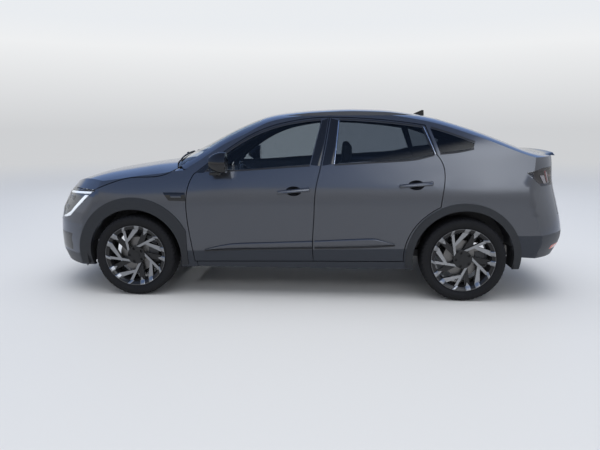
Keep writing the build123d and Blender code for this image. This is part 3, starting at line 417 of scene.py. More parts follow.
def spoke_tips(axle_x, wheel_y, sign):
    """Turned ends of the spokes: p(k, s, t) runs outwards by s from a spoke's top to the rim's lip, as wide
    as the spoke by t and leaning by its slant, with both sides bent down; three ends to each spoke."""
    angle, half, slant = np.array(SPOKE_TIPS).T[:, :, None, None]
    turn = 2 * pi / SPOKES * np.arange(SPOKES)[:, None, None, None] + np.radians(angle)
    width = np.array([-1.0, -1.0, -0.5, 0.0, 0.5, 1.0, 1.0])
    s, t = np.meshgrid(np.linspace(0, 1, 6), width, indexing="ij")
    run = (TIP_END - TIP_ROOT) * s
    across = half * t - slant * (run - (TIP_END - TIP_ROOT) / 2)
    u = (TIP_ROOT + run) * np.cos(turn) - across * np.sin(turn)
    v = (TIP_ROOT + run) * np.sin(turn) + across * np.cos(turn)
    bent = TIP_SIDE * np.array([1.0, 0, 0, 0, 0, 0, 1.0])
    y = np.minimum(TIP_ROOT_Y + TIP_SLOPE * run, TIP_END_Y) - bent + 0 * u
    return np.stack([axle_x - u, sign * (wheel_y + y), AXLE_Z + v], axis=-1).reshape(-1, *s.shape, 3)


turned_metal = finish("turned_metal", TURNED_FACE, TURNED_ROUGHNESS, metallic=1.0, spread=0.08, patch=30,
                      relief=0.0)
for axle in AXLES:
    alloy = finish(f"turned_alloy_and_sheen_{axle}", WHEEL_BLACK, 0.25, coat=0.15, relief=0.0, shine=0.25)
    faces = alloy.node_tree.nodes.new("ShaderNodeGroup")
    faces.node_tree = SPOKE_FACES_AND_LIP_SHEEN
    faces.inputs["Axle X"].default_value = AXLE_X[axle]
    faces.inputs["Wheel Y"].default_value = WHEEL_Y[axle]
    # The mask gives the turned faces bare metal, and gives the lip a share of it as painted sheen.
    two_tone(alloy, faces.outputs["Face"], TURNED_FACE, TURNED_ROUGHNESS, metallic=1.0, coat=0.2)
    for side_name, sign in SIDES:
        dress(f"wheel_{axle}_{side_name}", alloy)
        grid_piece(f"spoke_tips_{axle}_{side_name}", spoke_tips(AXLE_X[axle], WHEEL_Y[axle], sign),
                   f"spin_wheel_{axle}_{side_name}", turned_metal)

# Tyres: moulded rubber, a rounded carcass with four rain grooves, slanted shoulder blocks and raised
# rings on the sidewalls.
TYRE_RADIUS, TYRE_HALF, RIM_SEAT, BEAD_HALF = 0.3425, 0.1125, 0.2422, 0.0950
SECTION = ((RIM_SEAT, BEAD_HALF), (0.258, 0.0960), (0.276, 0.1055), (0.300, TYRE_HALF), (0.320, 0.1100),
           (0.333, 0.1020), (0.3395, 0.0880), (0.3418, 0.0550), (TYRE_RADIUS, 0.0))
BLOCK_COUNT, STEPS_PER_BLOCK, SECTION_STEPS = 60, 8, 96
TREAD_EDGE, SHOULDER_EDGE, SHOULDER_Y, EDGE_FADE = 0.334, 0.318, 0.066, 0.004
GROOVE_DEPTH, GROOVE_HALF, GROOVE_Y = 0.006, 0.0045, (-0.062, -0.022, 0.022, 0.062)
CUT_SLANT, CUT_HALF = 14, 0.11
RING_RISE, RING_HALF, RING_RADII = 0.0010, 0.0022, (0.268, 0.286, 0.314)


def eased(positions, *knots):
    """Values at positions on a smooth curve through (position, value, ...) knots: cubic Hermite pieces
    with harmonic-mean slopes, so that it never overshoots."""
    knots = np.array(sorted(knots), float)
    x, values = knots[:, 0], knots[:, 1:]
    step = np.diff(x)[:, None]
    rise = np.diff(values, axis=0) / step
    before, after = rise[:-1], rise[1:]
    same = before * after > 0
    heavy, light = 2 * step[1:] + step[:-1], step[1:] + 2 * step[:-1]
    with np.errstate(divide="ignore", invalid="ignore"):
        mean = (heavy + light) / (heavy / before + light / after)
    slope = np.concatenate([rise[:1], np.where(same, mean, 0.0), rise[-1:]])
    spot = np.asarray(positions, float)
    k = np.clip(np.searchsorted(x, spot) - 1, 0, len(x) - 2)
    t = ((spot - x[k]) / (x[k + 1] - x[k]))[..., None]
    h = (x[k + 1] - x[k])[..., None]
    result = ((1 + 2 * t) * (1 - t)**2 * values[k] + t * (1 - t)**2 * h * slope[k]
              + t**2 * (3 - 2 * t) * values[k + 1] + t**2 * (t - 1) * h * slope[k + 1])
    return result[..., 0] if values.shape[1] == 1 else result


def tyre_surface(axle_x, wheel_y):
    """Ring about the axle: x = axle_x + r(s, a) sin(a), z = axle_z + r(s, a) cos(a), y = wheel_y + w(s), with
    s over the section from bead to bead and a round the wheel; grooves take depth off r."""
    half = [(k, r, w) for k, (r, w) in enumerate(SECTION)]
    last = len(SECTION) - 1
    whole = half + [(2 * last - k, r, -w) for k, r, w in half[:-1]]
    radius, width = eased(np.linspace(0, 2 * last, SECTION_STEPS), *whole).T
    turn = (np.arange(BLOCK_COUNT * STEPS_PER_BLOCK) * 2 * pi / (BLOCK_COUNT * STEPS_PER_BLOCK))[:, None]
    tread = np.clip((radius - TREAD_EDGE) / EDGE_FADE, 0, 1)
    grooves = sum(np.exp(-((width - at) / GROOVE_HALF)**4) for at in GROOVE_Y)
    slant = turn * BLOCK_COUNT / (2 * pi) + np.abs(width) * CUT_SLANT
    shoulder = np.clip((np.abs(width) - SHOULDER_Y) / EDGE_FADE, 0, 1)
    cuts = np.exp(-((slant % 1.0 - 0.5) / CUT_HALF)**4) * shoulder
    wall = np.clip((radius - SHOULDER_EDGE) / EDGE_FADE, 0, 1)
    rings = RING_RISE * sum(np.exp(-((radius - at) / RING_HALF)**2) for at in RING_RADII)
    r = radius - GROOVE_DEPTH * np.maximum(grooves * tread, cuts * wall)
    y = wheel_y + np.clip(width + np.sign(width) * rings, -TYRE_HALF, TYRE_HALF)
    return np.stack([axle_x + r * np.sin(turn), y + 0 * r, AXLE_Z + r * np.cos(turn)], axis=-1)


rubber = finish("rubber", (0.010, 0.010, 0.011), 0.68, spread=0.3, relief=0.12, grain=700, shine=0.2)
for side_name, sign in SIDES:
    for axle in AXLES:
        tyre = grid_piece(f"road_tyre_{axle}_{side_name}", tyre_surface(AXLE_X[axle], sign * WHEEL_Y[axle]),
                          f"spin_wheel_{axle}_{side_name}", rubber, wrap_u=True, wrap_v=True)
        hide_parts(f"tyre_{axle}_{side_name}")

# Painted panels: pressed steel in a grey metallic under clear lacquer. Their cabin faces carry grained
# trim, and the feet of the doors and bumpers are moulded in unpainted satin plastic.
PAINT_GREY, PAINT_EDGE, FLAKE_SCALE = (0.068, 0.072, 0.083), (0.45, 0.52, 0.68, 1), 2600.0
SATIN_GREY, TRIM_BLACK, HEADLINER = (0.032, 0.034, 0.038), (0.022, 0.022, 0.023), (0.22, 0.215, 0.21)
INNER_STRETCH, INNER_SHIFT, INNER_LIMIT = (0.2, 1.0, 1.0), (0.0, 0.0, -0.7), -0.3
SIDE_FOOT, FRONT_FOOT, REAR_FOOT = (0.412, -0.022), 0.345, 0.545


def panel_zones():
    """Shader group: Inner is 1 on faces that look towards the cabin's middle line, Foot is 1 below the line
    z = Foot Z + Foot Slope * x."""
    group, given, result = shader_group(
        "panel_zones", [("Foot Z", "Float", 0.0), ("Foot Slope", "Float", 0.0)],
        [("Inner", "Float"), ("Foot", "Float")])
    link = group.links.new
    place, spot, out, way, toward = new_nodes(group, "TexCoord SeparateXYZ VectorMath VectorMath VectorMath")
    out.operation, way.operation, toward.operation = "MULTIPLY_ADD", "NORMALIZE", "DOT_PRODUCT"
    out.inputs[1].default_value = INNER_STRETCH
    out.inputs[2].default_value = INNER_SHIFT
    link(place.outputs["Object"], out.inputs[0])
    link(out.outputs[0], way.inputs[0])
    link(way.outputs[0], toward.inputs[0])
    link(place.outputs["Normal"], toward.inputs[1])
    link(sum_node(group, "LESS_THAN", toward.outputs["Value"], INNER_LIMIT), result["Inner"])
    link(place.outputs["Object"], spot.inputs[0])
    line = sum_node(group, "MULTIPLY_ADD", spot.outputs["X"], given["Foot Slope"], given["Foot Z"])
    link(sum_node(group, "LESS_THAN", spot.outputs["Z"], line), result["Foot"])
    return group


PANEL_ZONES = panel_zones()


def painted(name, foot_z=-1.0, foot_slope=0.0, inner=TRIM_BLACK, inner_roughness=0.6):
    """Metallic paint with an inner face and an unpainted foot."""
    made = finish(name, PAINT_GREY, 0.30, metallic=0.75, spread=0.10, patch=FLAKE_SCALE, relief=0.0, coat=0.8)
    nodes = made.node_tree.nodes
    nodes["Principled BSDF"].inputs["Specular Tint"].default_value = PAINT_EDGE
    zones = nodes.new("ShaderNodeGroup")
    zones.node_tree = PANEL_ZONES
    zones.inputs["Foot Z"].default_value = foot_z
    zones.inputs["Foot Slope"].default_value = foot_slope
    two_tone(made, zones.outputs["Foot"], SATIN_GREY, roughness=0.42, metallic=0.0, coat=0.0)
    return two_tone(made, zones.outputs["Inner"], inner, inner_roughness, metallic=0.0, coat=0.0)


door_paint = painted("door_paint", *SIDE_FOOT)
side_paint = painted("side_paint", *SIDE_FOOT)
for side_name, sign in SIDES:
    dress(f"body_side_{side_name}", side_paint)
    dress(f"wing_front_{side_name}", side_paint)
    for axle in AXLES:
        dress(f"door_{axle}_{side_name}", door_paint)
dress("roof_panel", painted("roof_paint", inner=HEADLINER, inner_roughness=0.9))
dress("bonnet", painted("bonnet_paint"))
dress("tailgate", painted("tailgate_paint"))
dress("front_bumper", painted("front_bumper_paint", FRONT_FOOT))
dress("rear_bumper", painted("rear_bumper_paint", REAR_FOOT))

# Arch trims: satin moulded plastic clipped over the edges of the panels.
satin_plastic = finish("satin_plastic", (0.017, 0.019, 0.023), 0.46, spread=0.12, relief=0.05, grain=1200,
                       shine=0.35)
dress("arch_trims", satin_plastic)

# Mouldings, pillar panels and window strips on the body sides: thin moulded or rolled strips that follow
# the skin and sink a little into it at their edges, clipped to the doors and wings.
SIDE_LINES = {
    "half_width": ((2420, 770), (2284, 806), (1900, 868), (1384, 898), (900, 901), (0, 903), (-700, 905),
                   (-1336, 908), (-1800, 882), (-2284, 812), (-2420, 780)),
    "tuck_in": ((60, 120), (200, 80), (300, 47), (420, 20), (600, 6), (760, 0), (880, 5), (960, 17),
                (1040, 35), (1100, 46), (1300, 75), (1740, 120)),
    "belt": ((2420, 1000), (1400, 1005), (862, 1026), (594, 1051), (-71, 1091), (-916, 1139), (-1385, 1205),
             (-1800, 1225), (-2420, 1225)),
    "cabin_taper": ((2420, 0.97), (900, 0.99), (500, 1), (-900, 1), (-1500, 0.98), (-2000, 0.94),
                    (-2420, 0.9)),
}
WINDOW_TOP_FRONT = ((770, 1061), (712, 1108), (594, 1197), (370, 1333), (217, 1393), (51, 1432), (-178, 1460))
WINDOW_TOP_REAR = ((-326, 1460), (-496, 1452), (-824, 1421), (-990, 1398))
WINDOW_TOP_QUARTER = ((-1054, 1394), (-1221, 1340), (-1392, 1276))
WINDOW_FOOT_FRONT = ((770, 1061), (594, 1063), (100, 1093), (-92, 1106))
WINDOW_FOOT_REAR = ((-290, 1113), (-600, 1131), (-916, 1153), (-1078, 1190))
WINDOW_FOOT_QUARTER = ((-1126, 1199), (-1250, 1212), (-1385, 1238))
BELT_DROP, CABIN_HALF, CABIN_LEAN, CABIN_BOW, SKIN_BLEND = 30, 872, 0.42, 0.00024, 12
EDGE_SINK, EDGE_STEEP, EDGE_POWER = 1.5, 2.2, 0.6


def side_skin(x, z):
    """Half width of the car in mm: the softer minimum of a barrel-sided body and a leaning cabin."""
    body = eased(x, *SIDE_LINES["half_width"]) - eased(z, *SIDE_LINES["tuck_in"])
    rise = z - eased(x, *SIDE_LINES["belt"]) + BELT_DROP
    cabin = CABIN_HALF - CABIN_LEAN * rise - CABIN_BOW * rise * rise
    cabin = cabin * eased(x, *SIDE_LINES["cabin_taper"])
    return -SKIN_BLEND * np.logaddexp(-body / SKIN_BLEND, -cabin / SKIN_BLEND)


def along(points, steps):
    """Evenly spaced points on a smooth curve through points."""
    points = np.array(points, float)
    run = np.concatenate([[0], np.cumsum(np.linalg.norm(np.diff(points, axis=0), axis=1))])
    return eased(np.linspace(0, run[-1], steps), *np.column_stack([run, points]).tolist())


def beside(points, away):
    """Curve moved sideways by a distance, to the right of its run."""
    line = along(points, 24)
    run = np.gradient(line, axis=0)
    run /= np.linalg.norm(run, axis=1)[:, None]
    return (line + away * np.column_stack([run[:, 1], -run[:, 0]])).tolist()


def strip_on_side(first, second, rise, sign, crest=0.5, sink=EDGE_SINK):
    """Ruled strip between two (x, z) curves in mm: p(s, t) = a(s) + t (b(s) - a(s)), off the skin by a bump
    that climbs from -sink at both edges to rise at the crest."""
    a, b = along(first, 64), along(second, 64)
    t = np.linspace(0, 1, 13)
    flat = a[:, None] + t[:, None] * (b - a)[:, None]
    bump = np.where(t < crest, t / crest, (1 - t) / (1 - crest))
    lift = (rise + sink) * np.clip(EDGE_STEEP * bump, 0, 1)**EDGE_POWER - sink
    y = sign * (side_skin(flat[..., 0], flat[..., 1]) + lift)
    return np.stack([flat[..., 0], y, flat[..., 1]], axis=-1) / 1000


def side_trim(name, body, first, second, rise, material, slot="gloss_black", **options):
    """The same strip on both sides of the car; a body with {} in its name takes each side's name."""
    for side_name, sign in SIDES:
        grid_piece(f"{name}_{side_name}", strip_on_side(first, second, rise, sign, **options),
                   body.format(side_name), material)


gloss_black = finish("gloss_black", (0.006, 0.006, 0.007), 0.10, spread=0.05, relief=0.0)
STRIP_METAL = {"metallic": 1.0, "spread": 0.06, "patch": 40, "relief": 0.0}
bright_strip = finish("bright_strip", (0.66, 0.67, 0.69), 0.22, **STRIP_METAL)
dull_strip = finish("dull_strip", (0.10, 0.105, 0.115), 0.3, **STRIP_METAL)
seal_black = finish("seal_black", (0.008, 0.008, 0.009), 0.45, spread=0.15, relief=0.05)
ridge_paint = painted("ridge_paint")
RIDGE_TOP_FRONT = ((787, 402), (660, 440), (537, 462), (200, 478), (-112, 493))
RIDGE_FOOT_FRONT = ((787, 400), (660, 408), (537, 414), (200, 424), (-112, 432))
RIDGE_TOP_REAR = ((-132, 494), (-400, 509), (-611, 518), (-688, 500), (-785, 470))
RIDGE_FOOT_REAR = ((-132, 433), (-400, 441), (-611, 450), (-688, 456), (-785, 466))
RIDGE_RISE, RIDGE_CREST, RIDGE_LINE_WIDE, RIDGE_LINE_RISE = 13, 0.35, 15, 5
PANEL_RISE, STRIP_RISE, BELT_SEAL_RISE, WING_TRIM_RISE, WING_BAR_RISE = 2, 3.5, 3, 5, 9
SURROUND_FAR, SURROUND_NEAR, SEAL_OVER, SEAL_UNDER = 18, 3, 2, 13
FRONT_DOOR_BODY, REAR_DOOR_BODY = "door_front_{}", "door_rear_{}"
for name, body, top, foot in (("front_door_ridge", FRONT_DOOR_BODY, RIDGE_TOP_FRONT, RIDGE_FOOT_FRONT),
                              ("rear_door_ridge", REAR_DOOR_BODY, RIDGE_TOP_REAR, RIDGE_FOOT_REAR)):
    side_trim(name, body, top, foot, RIDGE_RISE, ridge_paint, "paint", crest=RIDGE_CREST)
    side_trim(name + "_line", body, foot, beside(foot, -RIDGE_LINE_WIDE), RIDGE_LINE_RISE, seal_black)
for name, body, top, foot in (("front_window", FRONT_DOOR_BODY, WINDOW_TOP_FRONT, WINDOW_FOOT_FRONT),
                              ("rear_window", REAR_DOOR_BODY, WINDOW_TOP_REAR, WINDOW_FOOT_REAR),
                              ("quarter_window", "body", WINDOW_TOP_QUARTER, WINDOW_FOOT_QUARTER)):
    side_trim(name + "_surround", body, beside(top, SURROUND_FAR), beside(top, SURROUND_NEAR), PANEL_RISE,
              seal_black)
    side_trim(name + "_seal", body, beside(foot, SEAL_OVER), beside(foot, -SEAL_UNDER), BELT_SEAL_RISE,
              seal_black)
side_trim("centre_panel_front", FRONT_DOOR_BODY, ((-182, 1459), (-140, 1290), (-96, 1107)),
          ((-239, 1480), (-209, 1280), (-174, 1098)), PANEL_RISE, gloss_black)
side_trim("centre_panel_rear", REAR_DOOR_BODY, ((-253, 1480), (-223, 1280), (-188, 1100)),
          ((-320, 1459), (-303, 1280), (-286, 1114)), PANEL_RISE, gloss_black)
side_trim("centre_strip", REAR_DOOR_BODY, ((-319, 1459), (-302, 1280), (-285, 1114)),
          ((-328, 1459), (-311, 1280), (-294, 1114)), STRIP_RISE, bright_strip, "alloy")
side_trim("rear_pillar_panel", REAR_DOOR_BODY, ((-986, 1400), (-1030, 1300), (-1074, 1192)),
          ((-1012, 1412), (-1055, 1300), (-1098, 1188)), PANEL_RISE, gloss_black)
side_trim("rear_pillar_strip", REAR_DOOR_BODY, ((-999, 1404), (-1042, 1300), (-1085, 1192)),
          ((-1007, 1408), (-1050, 1300), (-1093, 1190)), STRIP_RISE, bright_strip, "alloy")
side_trim("mirror_corner", FRONT_DOOR_BODY, ((846, 1040), (790, 1081), (724, 1126)),
          ((768, 1042), (745, 1066), (716, 1098)), PANEL_RISE, gloss_black)
side_trim("wing_trim", "body", ((1118, 883), (1030, 884), (934, 884)), ((1066, 812), (1000, 810), (930, 809)),
          WING_TRIM_RISE, gloss_black)
side_trim("wing_trim_bar", "body", ((1058, 862), (1020, 862), (962, 862)),
          ((1040, 834), (1010, 834), (962, 834)), WING_BAR_RISE, dull_strip, "alloy")

# Shut-line seals: rubber strips on the body behind the gaps round the doors' tops, along the bonnet's sides
# and over the headlamps.
SEAL_DEPTH, SEAL_SEAT, LAMP_SEAT, SEAL_REACH, BONNET_REACH = 20, 16, 5, 10, 3.4
DOOR_TOP_FRONT = ((862, 1030), (712, 1141), (594, 1227), (370, 1362), (217, 1421), (51, 1459), (-100, 1480),
                  (-245, 1486))
DOOR_TOP_REAR = ((-245, 1486), (-496, 1478), (-824, 1447), (-1017, 1418))
DOOR_END_REAR = ((-1017, 1418), (-1104, 1181), (-1160, 1060), (-1161, 964), (-1137, 775))
BONNET_EDGE = ((1030, 1062), (1109, 1024), (1397, 998), (1575, 950), (1690, 904), (1722, 892))
LAMP_EDGE = ((1700, 899), (1722, 892), (1770, 892), (1850, 892))
for name, line, seat, reach in (("front_door_seal", DOOR_TOP_FRONT, SEAL_SEAT, SEAL_REACH),
                                ("rear_door_seal", DOOR_TOP_REAR, SEAL_SEAT, SEAL_REACH),
                                ("rear_door_end_seal", DOOR_END_REAR, SEAL_SEAT, SEAL_REACH),
                                ("bonnet_seal", BONNET_EDGE, SEAL_SEAT, BONNET_REACH),
                                ("lamp_seal", LAMP_EDGE, LAMP_SEAT, BONNET_REACH)):
    side_trim(name, "body", beside(line, seat), beside(line, -reach), -SEAL_DEPTH, seal_black,
              sink=SEAL_DEPTH)

# Window glass: tinted panes bonded into their frames, clear enough to see through the cabin.
GLASS_TINT, PRIVACY_TINT = (0.66, 0.69, 0.71, 1), (0.58, 0.61, 0.64, 1)
QUARTER_TINT, SCREEN_TINT = (0.42, 0.45, 0.48, 1), (0.80, 0.83, 0.84, 1)


def see_through(name, tint, roughness=0.015, index=1.4):
    """Clear sheet: light passes in the tint's colour, and its outer faces shine more at a slant."""
    made, tree, base = bare_material(name)
    link = tree.links.new
    tree.nodes.remove(base)
    clear, sheen, mix, slant, face = new_nodes(
        tree, "BsdfTransparent BsdfGlossy MixShader Fresnel NewGeometry")
    clear.inputs["Color"].default_value = tint
    sheen.inputs["Roughness"].default_value = roughness
    slant.inputs["IOR"].default_value = index
    outer = sum_node(tree, "SUBTRACT", 1.0, face.outputs["Backfacing"])
    link(sum_node(tree, "MULTIPLY", slant.outputs[0], outer), mix.inputs[0])
    link(clear.outputs[0], mix.inputs[1])
    link(sheen.outputs[0], mix.inputs[2])
    link(mix.outputs[0], tree.nodes["Material Output"].inputs["Surface"])
    return made


side_glass, privacy_glass = see_through("side_glass", GLASS_TINT), see_through("privacy_glass", PRIVACY_TINT)
for side_name, sign in SIDES:
    dress(f"glass_front_{side_name}", side_glass)
    dress(f"glass_rear_{side_name}", privacy_glass)
dress("glass_quarters", see_through("quarter_glass", QUARTER_TINT))
dress("tailgate_glass", privacy_glass)
dress("windscreen", see_through("screen_glass", SCREEN_TINT))

# Door mirrors, roof fin and grille: gloss black mouldings, with silvered glass in the mirrors' rear faces.
SILVER, MIRROR_TURN = (0.45, 0.46, 0.48), -0.97
mirror_black = finish("mirror_black", (0.006, 0.006, 0.007), 0.12, spread=0.05, relief=0.0)
tree = mirror_black.node_tree
place, facing = new_nodes(tree, "TexCoord SeparateXYZ")
tree.links.new(place.outputs["Normal"], facing.inputs[0])
silvered = sum_node(tree, "LESS_THAN", facing.outputs["X"], MIRROR_TURN)
two_tone(mirror_black, silvered, SILVER, roughness=0.10, metallic=1.0, coat=0.0)
for side_name, sign in SIDES:
    dress(f"mirror_{side_name}", mirror_black)
dress("roof_fin", gloss_black)
dress("front_grille", gloss_black)

# Headlamps: clear moulded lenses over a dark bowl, with a white light guide along the top and down the
# rear edge of each lamp and three dark projector lenses between.
NOSE_LINE = ((100, 2090), (246, 2234), (340, 2276), (500, 2284), (640, 2268), (810, 2194), (890, 2130),
             (1200, 1800))
NOSE_SWEEP, NOSE_POWER, CORNER_Y = 420, 3.2, 850
LAMP_INNER_Y, LAMP_TOP, LAMP_FOOT, LAMP_REAR = 434, 880, 608, ((604, 656, 884), (2180, 1998, 1726))
LENS_GAP, FRONT_PACK, BOWL_RIM, BOWL_DEPTH = 5, 1.6, 6, 18
GUIDE_DROOP, GUIDE_TALL, GUIDE_FOOT, GUIDE_HEAD = 34, 20, LAMP_FOOT + 26, LAMP_TOP - 34
GUIDE_INSET, GUIDE_FALL, PROJECTOR_INSET, PROJECTOR_BULGE = 5, 6, 25, 0.016
GUIDE_SHARE = ((GUIDE_FOOT, 690, LAMP_TOP), (0.34, 0.12, 0.085))
GUIDE_GLOW, GUIDE_STRENGTH = (0.9, 0.94, 1.0, 1), 0.35
PROJECTORS, PROJECTOR_AHEAD, PROJECTOR_OUT = ((2010, 800, 30), (2085, 795, 28), (2080, 715, 24)), 0.75, 0.6


def unit_grid(rows, columns):
    """Even shares s and t from 0 to 1 over a grid."""
    return np.meshgrid(np.linspace(0, 1, rows), np.linspace(0, 1, columns), indexing="ij")


def front_skin(x, z, inset):
    """Half width in mm of the front corner: the lesser of the side skin and the swept nose, less an inset."""
    ahead = np.maximum(eased(z, *NOSE_LINE) - inset - x, 0) / NOSE_SWEEP
    return np.minimum(side_skin(x, z) - inset, CORNER_Y * ahead**(1 / NOSE_POWER))


def lamp_sheet(low, high, inset, sign, reach=None, steps=(40, 24), droop=0):
    """Sheet behind the lens: z runs from low to high, less droop towards the front, and x from the rear edge
    by reach(z) of the lamp's run, packed towards the front; y is the front skin less inset(s, t)."""
    s, t = unit_grid(*steps)
    z = low + t * (high - low) - droop * s
    share = s * reach(z) if reach else s
    depth = inset(s, t)
    rear = np.interp(z, *LAMP_REAR) + LENS_GAP
    front = eased(z, *NOSE_LINE) - depth - NOSE_SWEEP * (LAMP_INNER_Y / CORNER_Y)**NOSE_POWER
    x = rear + (front - rear) * (1 - (1 - share)**FRONT_PACK)
    return np.stack([x, sign * front_skin(x, z, depth), z], axis=-1) / 1000


def bowl_depth(s, t):
    """Inset of a lamp's bowl: shallow at its rim and deep inside."""
    edge = np.maximum(np.abs(2 * s - 1), np.abs(2 * t - 1))
    return BOWL_RIM + BOWL_DEPTH * (1 - edge**10)


def crowned(depth, fall, way):
    """Inset that is depth at the middle and falls away towards both edges, across s (way 0) or t (way 1)."""
    return lambda *at: depth + fall * np.abs(2 * at[way] - 1)**3


dress("headlamps", see_through("lens_clear", (0.93, 0.95, 0.97, 1)))
lamp_black = finish("lamp_black", (0.012, 0.013, 0.015), 0.30, spread=0.1, relief=0.0)
light_guide = finish("light_guide", (0.86, 0.88, 0.92), 0.25, spread=0.04, coat=0.5, relief=0.0)
guide_base = light_guide.node_tree.nodes["Principled BSDF"]
guide_base.inputs["Emission Color"].default_value = GUIDE_GLOW
guide_base.inputs["Emission Strength"].default_value = GUIDE_STRENGTH
projector_glass = finish("projector_glass", (0.05, 0.055, 0.065), 0.05, metallic=0.3, spread=0.1, coat=1.0,
                         relief=0.0)


def guide_share(z):
    """Share of the lamp's run that the diagonal guide takes up at a height."""
    return np.interp(z, *GUIDE_SHARE)


def dome(centre, axis, radius, bulge):
    """Lens cap: p(a, b) = centre + radius sin(b) (cos(a) u + sin(a) v) + bulge cos(b) axis."""
    axis = np.array(axis, float) / np.linalg.norm(axis)
    u = np.cross(axis, (0, 0, 1))
    u /= np.linalg.norm(u)
    v = np.cross(u, axis)
    a, b = np.meshgrid(np.linspace(0, 2 * pi, 37)[:-1], np.linspace(0.02, pi / 2, 14), indexing="ij")
    flat = np.cos(a)[..., None] * u + np.sin(a)[..., None] * v
    return centre + radius * np.sin(b)[..., None] * flat + bulge * np.cos(b)[..., None] * axis


for side_name, sign in SIDES:
    bowl = lamp_sheet(LAMP_FOOT, LAMP_TOP, bowl_depth, sign)
    grid_piece(f"lamp_bowl_{side_name}", bowl, "body", lamp_black)
    top_guide = lamp_sheet(LAMP_TOP - GUIDE_TALL, LAMP_TOP - 1, crowned(GUIDE_INSET, GUIDE_FALL, 1), sign,
                           droop=GUIDE_DROOP)
    rear_guide = lamp_sheet(GUIDE_FOOT, GUIDE_HEAD, crowned(GUIDE_INSET, GUIDE_FALL, 0), sign, guide_share,
                            steps=(9, 60))
    for label, points in (("top", top_guide), ("rear", rear_guide)):
        grid_piece(f"lamp_guide_{label}_{side_name}", points, "body", light_guide)
    for k, (x, z, radius) in enumerate(PROJECTORS):
        y = sign * float(front_skin(np.array(x), np.array(z), PROJECTOR_INSET))
        aim = (PROJECTOR_AHEAD, PROJECTOR_OUT * sign, 0)
        cap = dome(np.array((x, y, z)) / 1000, aim, radius / 1000, PROJECTOR_BULGE)
        grid_piece(f"lamp_projector_{k}_{side_name}", cap, "body", projector_glass, wrap_u=True)

# Tail lamps: smoked moulded lenses over a dark bowl, with two pale reflectors and two red light bars behind
# each lens.
TAIL_LINE = ((100, -2110), (300, -2196), (514, -2284), (720, -2244), (923, -2186), (1168, -2156),
             (1500, -2040))
TAIL_SWEEP, TAIL_POWER, TAIL_HALF, TAIL_PACK = 330, 3.5, 604, 1.5
TAIL_TIP = ((936, 1045, 1076), (-1940, -1806, -1945))


def rear_skin(x, z, inset):
    """Half width in mm of the rear corner: the lesser of the side skin and the swept tail, less an inset."""
    behind = np.maximum(x - eased(z, *TAIL_LINE) - inset, 0) / TAIL_SWEEP
    return np.minimum(side_skin(x, z) - inset, CORNER_Y * behind**(1 / TAIL_POWER))


def tail_sheet(low, high, start, end, inset, sign):
    """Sheet behind the tail lens: z from low to high, x by shares of the run from the lamp's tip to its inner
    end, packed towards that end; y is the rear skin less inset(s, t)."""
    s, t = unit_grid(30, 16)
    z = low + t * (high - low)
    depth = inset(s, t)
    tip = np.interp(z, *TAIL_TIP)
    inner = eased(z, *TAIL_LINE) + depth + TAIL_SWEEP * (TAIL_HALF / CORNER_Y)**TAIL_POWER
    share = start + s * (end - start)
    x = tip + (inner - tip) * (1 - (1 - share)**TAIL_PACK)
    return np.stack([x, sign * rear_skin(x, z, depth), z], axis=-1) / 1000


dress("tail_lamps", see_through("lens_smoked", (0.62, 0.60, 0.62, 1), index=1.3))
tail_red = finish("tail_red", (0.34, 0.02, 0.02), 0.2, spread=0.1, coat=0.6, relief=0.0)
pale_reflector = finish("pale_reflector", (0.75, 0.76, 0.78), 0.25, metallic=0.6, spread=0.1, relief=0.0)
for side_name, sign in SIDES:
    for label, low, high, start, end, inset, material in (
            ("bowl", 938, 1074, 0.0, 1.0, bowl_depth, lamp_black),
            ("reflector", 950, 1018, 0.30, 0.50, crowned(12, 5, 0), pale_reflector),
            ("bar", 962, 1056, 0.53, 0.59, crowned(8, 5, 0), tail_red),
            ("inner_reflector", 950, 1040, 0.62, 0.72, crowned(12, 5, 0), pale_reflector),
            ("cross_bar", 1000, 1018, 0.74, 1.0, crowned(9, 5, 1), tail_red)):
        sheet = tail_sheet(low, high, start, end, inset, sign)
        grid_piece(f"tail_{label}_{side_name}", sheet, "body", material)

# Front plate and corner vents: a blank pressed plate on the bumper bar, and gloss panels at the corners.
PLATE, VENT, END_RISE = (-260, 260, 518, 622), (560, 770, 352, 508), 3


def end_sheet(box, sign=1, line=NOSE_LINE, sweep=-NOSE_SWEEP, power=NOSE_POWER):
    """Sheet over a box (y0, y1, z0, z1) on the nose or tail: x = line(z) + sweep |y / corner|^power, out by
    END_RISE inside its edges, and never past the solids."""
    s, t = unit_grid(24, 14)
    y, z = box[0] + s * (box[1] - box[0]), box[2] + t * (box[3] - box[2])
    edge = np.maximum(np.abs(2 * s - 1), np.abs(2 * t - 1))
    out = (END_RISE + EDGE_SINK) * (1 - edge**12) - EDGE_SINK
    x = eased(z, *line) + sweep * np.abs(y / CORNER_Y)**power - np.sign(sweep) * out
    return np.stack([np.clip(x / 1000, cad_box[0][0], cad_box[1][0]), sign * y / 1000, z / 1000], axis=-1)


plate_white = finish("plate_white", (0.72, 0.73, 0.72), 0.3, spread=0.04, coat=0.3, relief=0.0)
grid_piece("blank_plate", end_sheet(PLATE), "body", plate_white)
for side_name, sign in SIDES:
    grid_piece(f"corner_vent_{side_name}", end_sheet(VENT, sign), "body", gloss_black)

# Rear reflectors: moulded red prisms set in the bumper's lower corners.
REFLECTOR = (560, 735, 412, 446)
reflector_red = finish("reflector_red", (0.62, 0.07, 0.03), 0.25, spread=0.15, patch=400, coat=0.8,
                       relief=0.0)
for side_name, sign in SIDES:
    prism = end_sheet(REFLECTOR, sign, TAIL_LINE, TAIL_SWEEP, TAIL_POWER)
    grid_piece(f"rear_reflector_{side_name}", prism, "body", reflector_red)

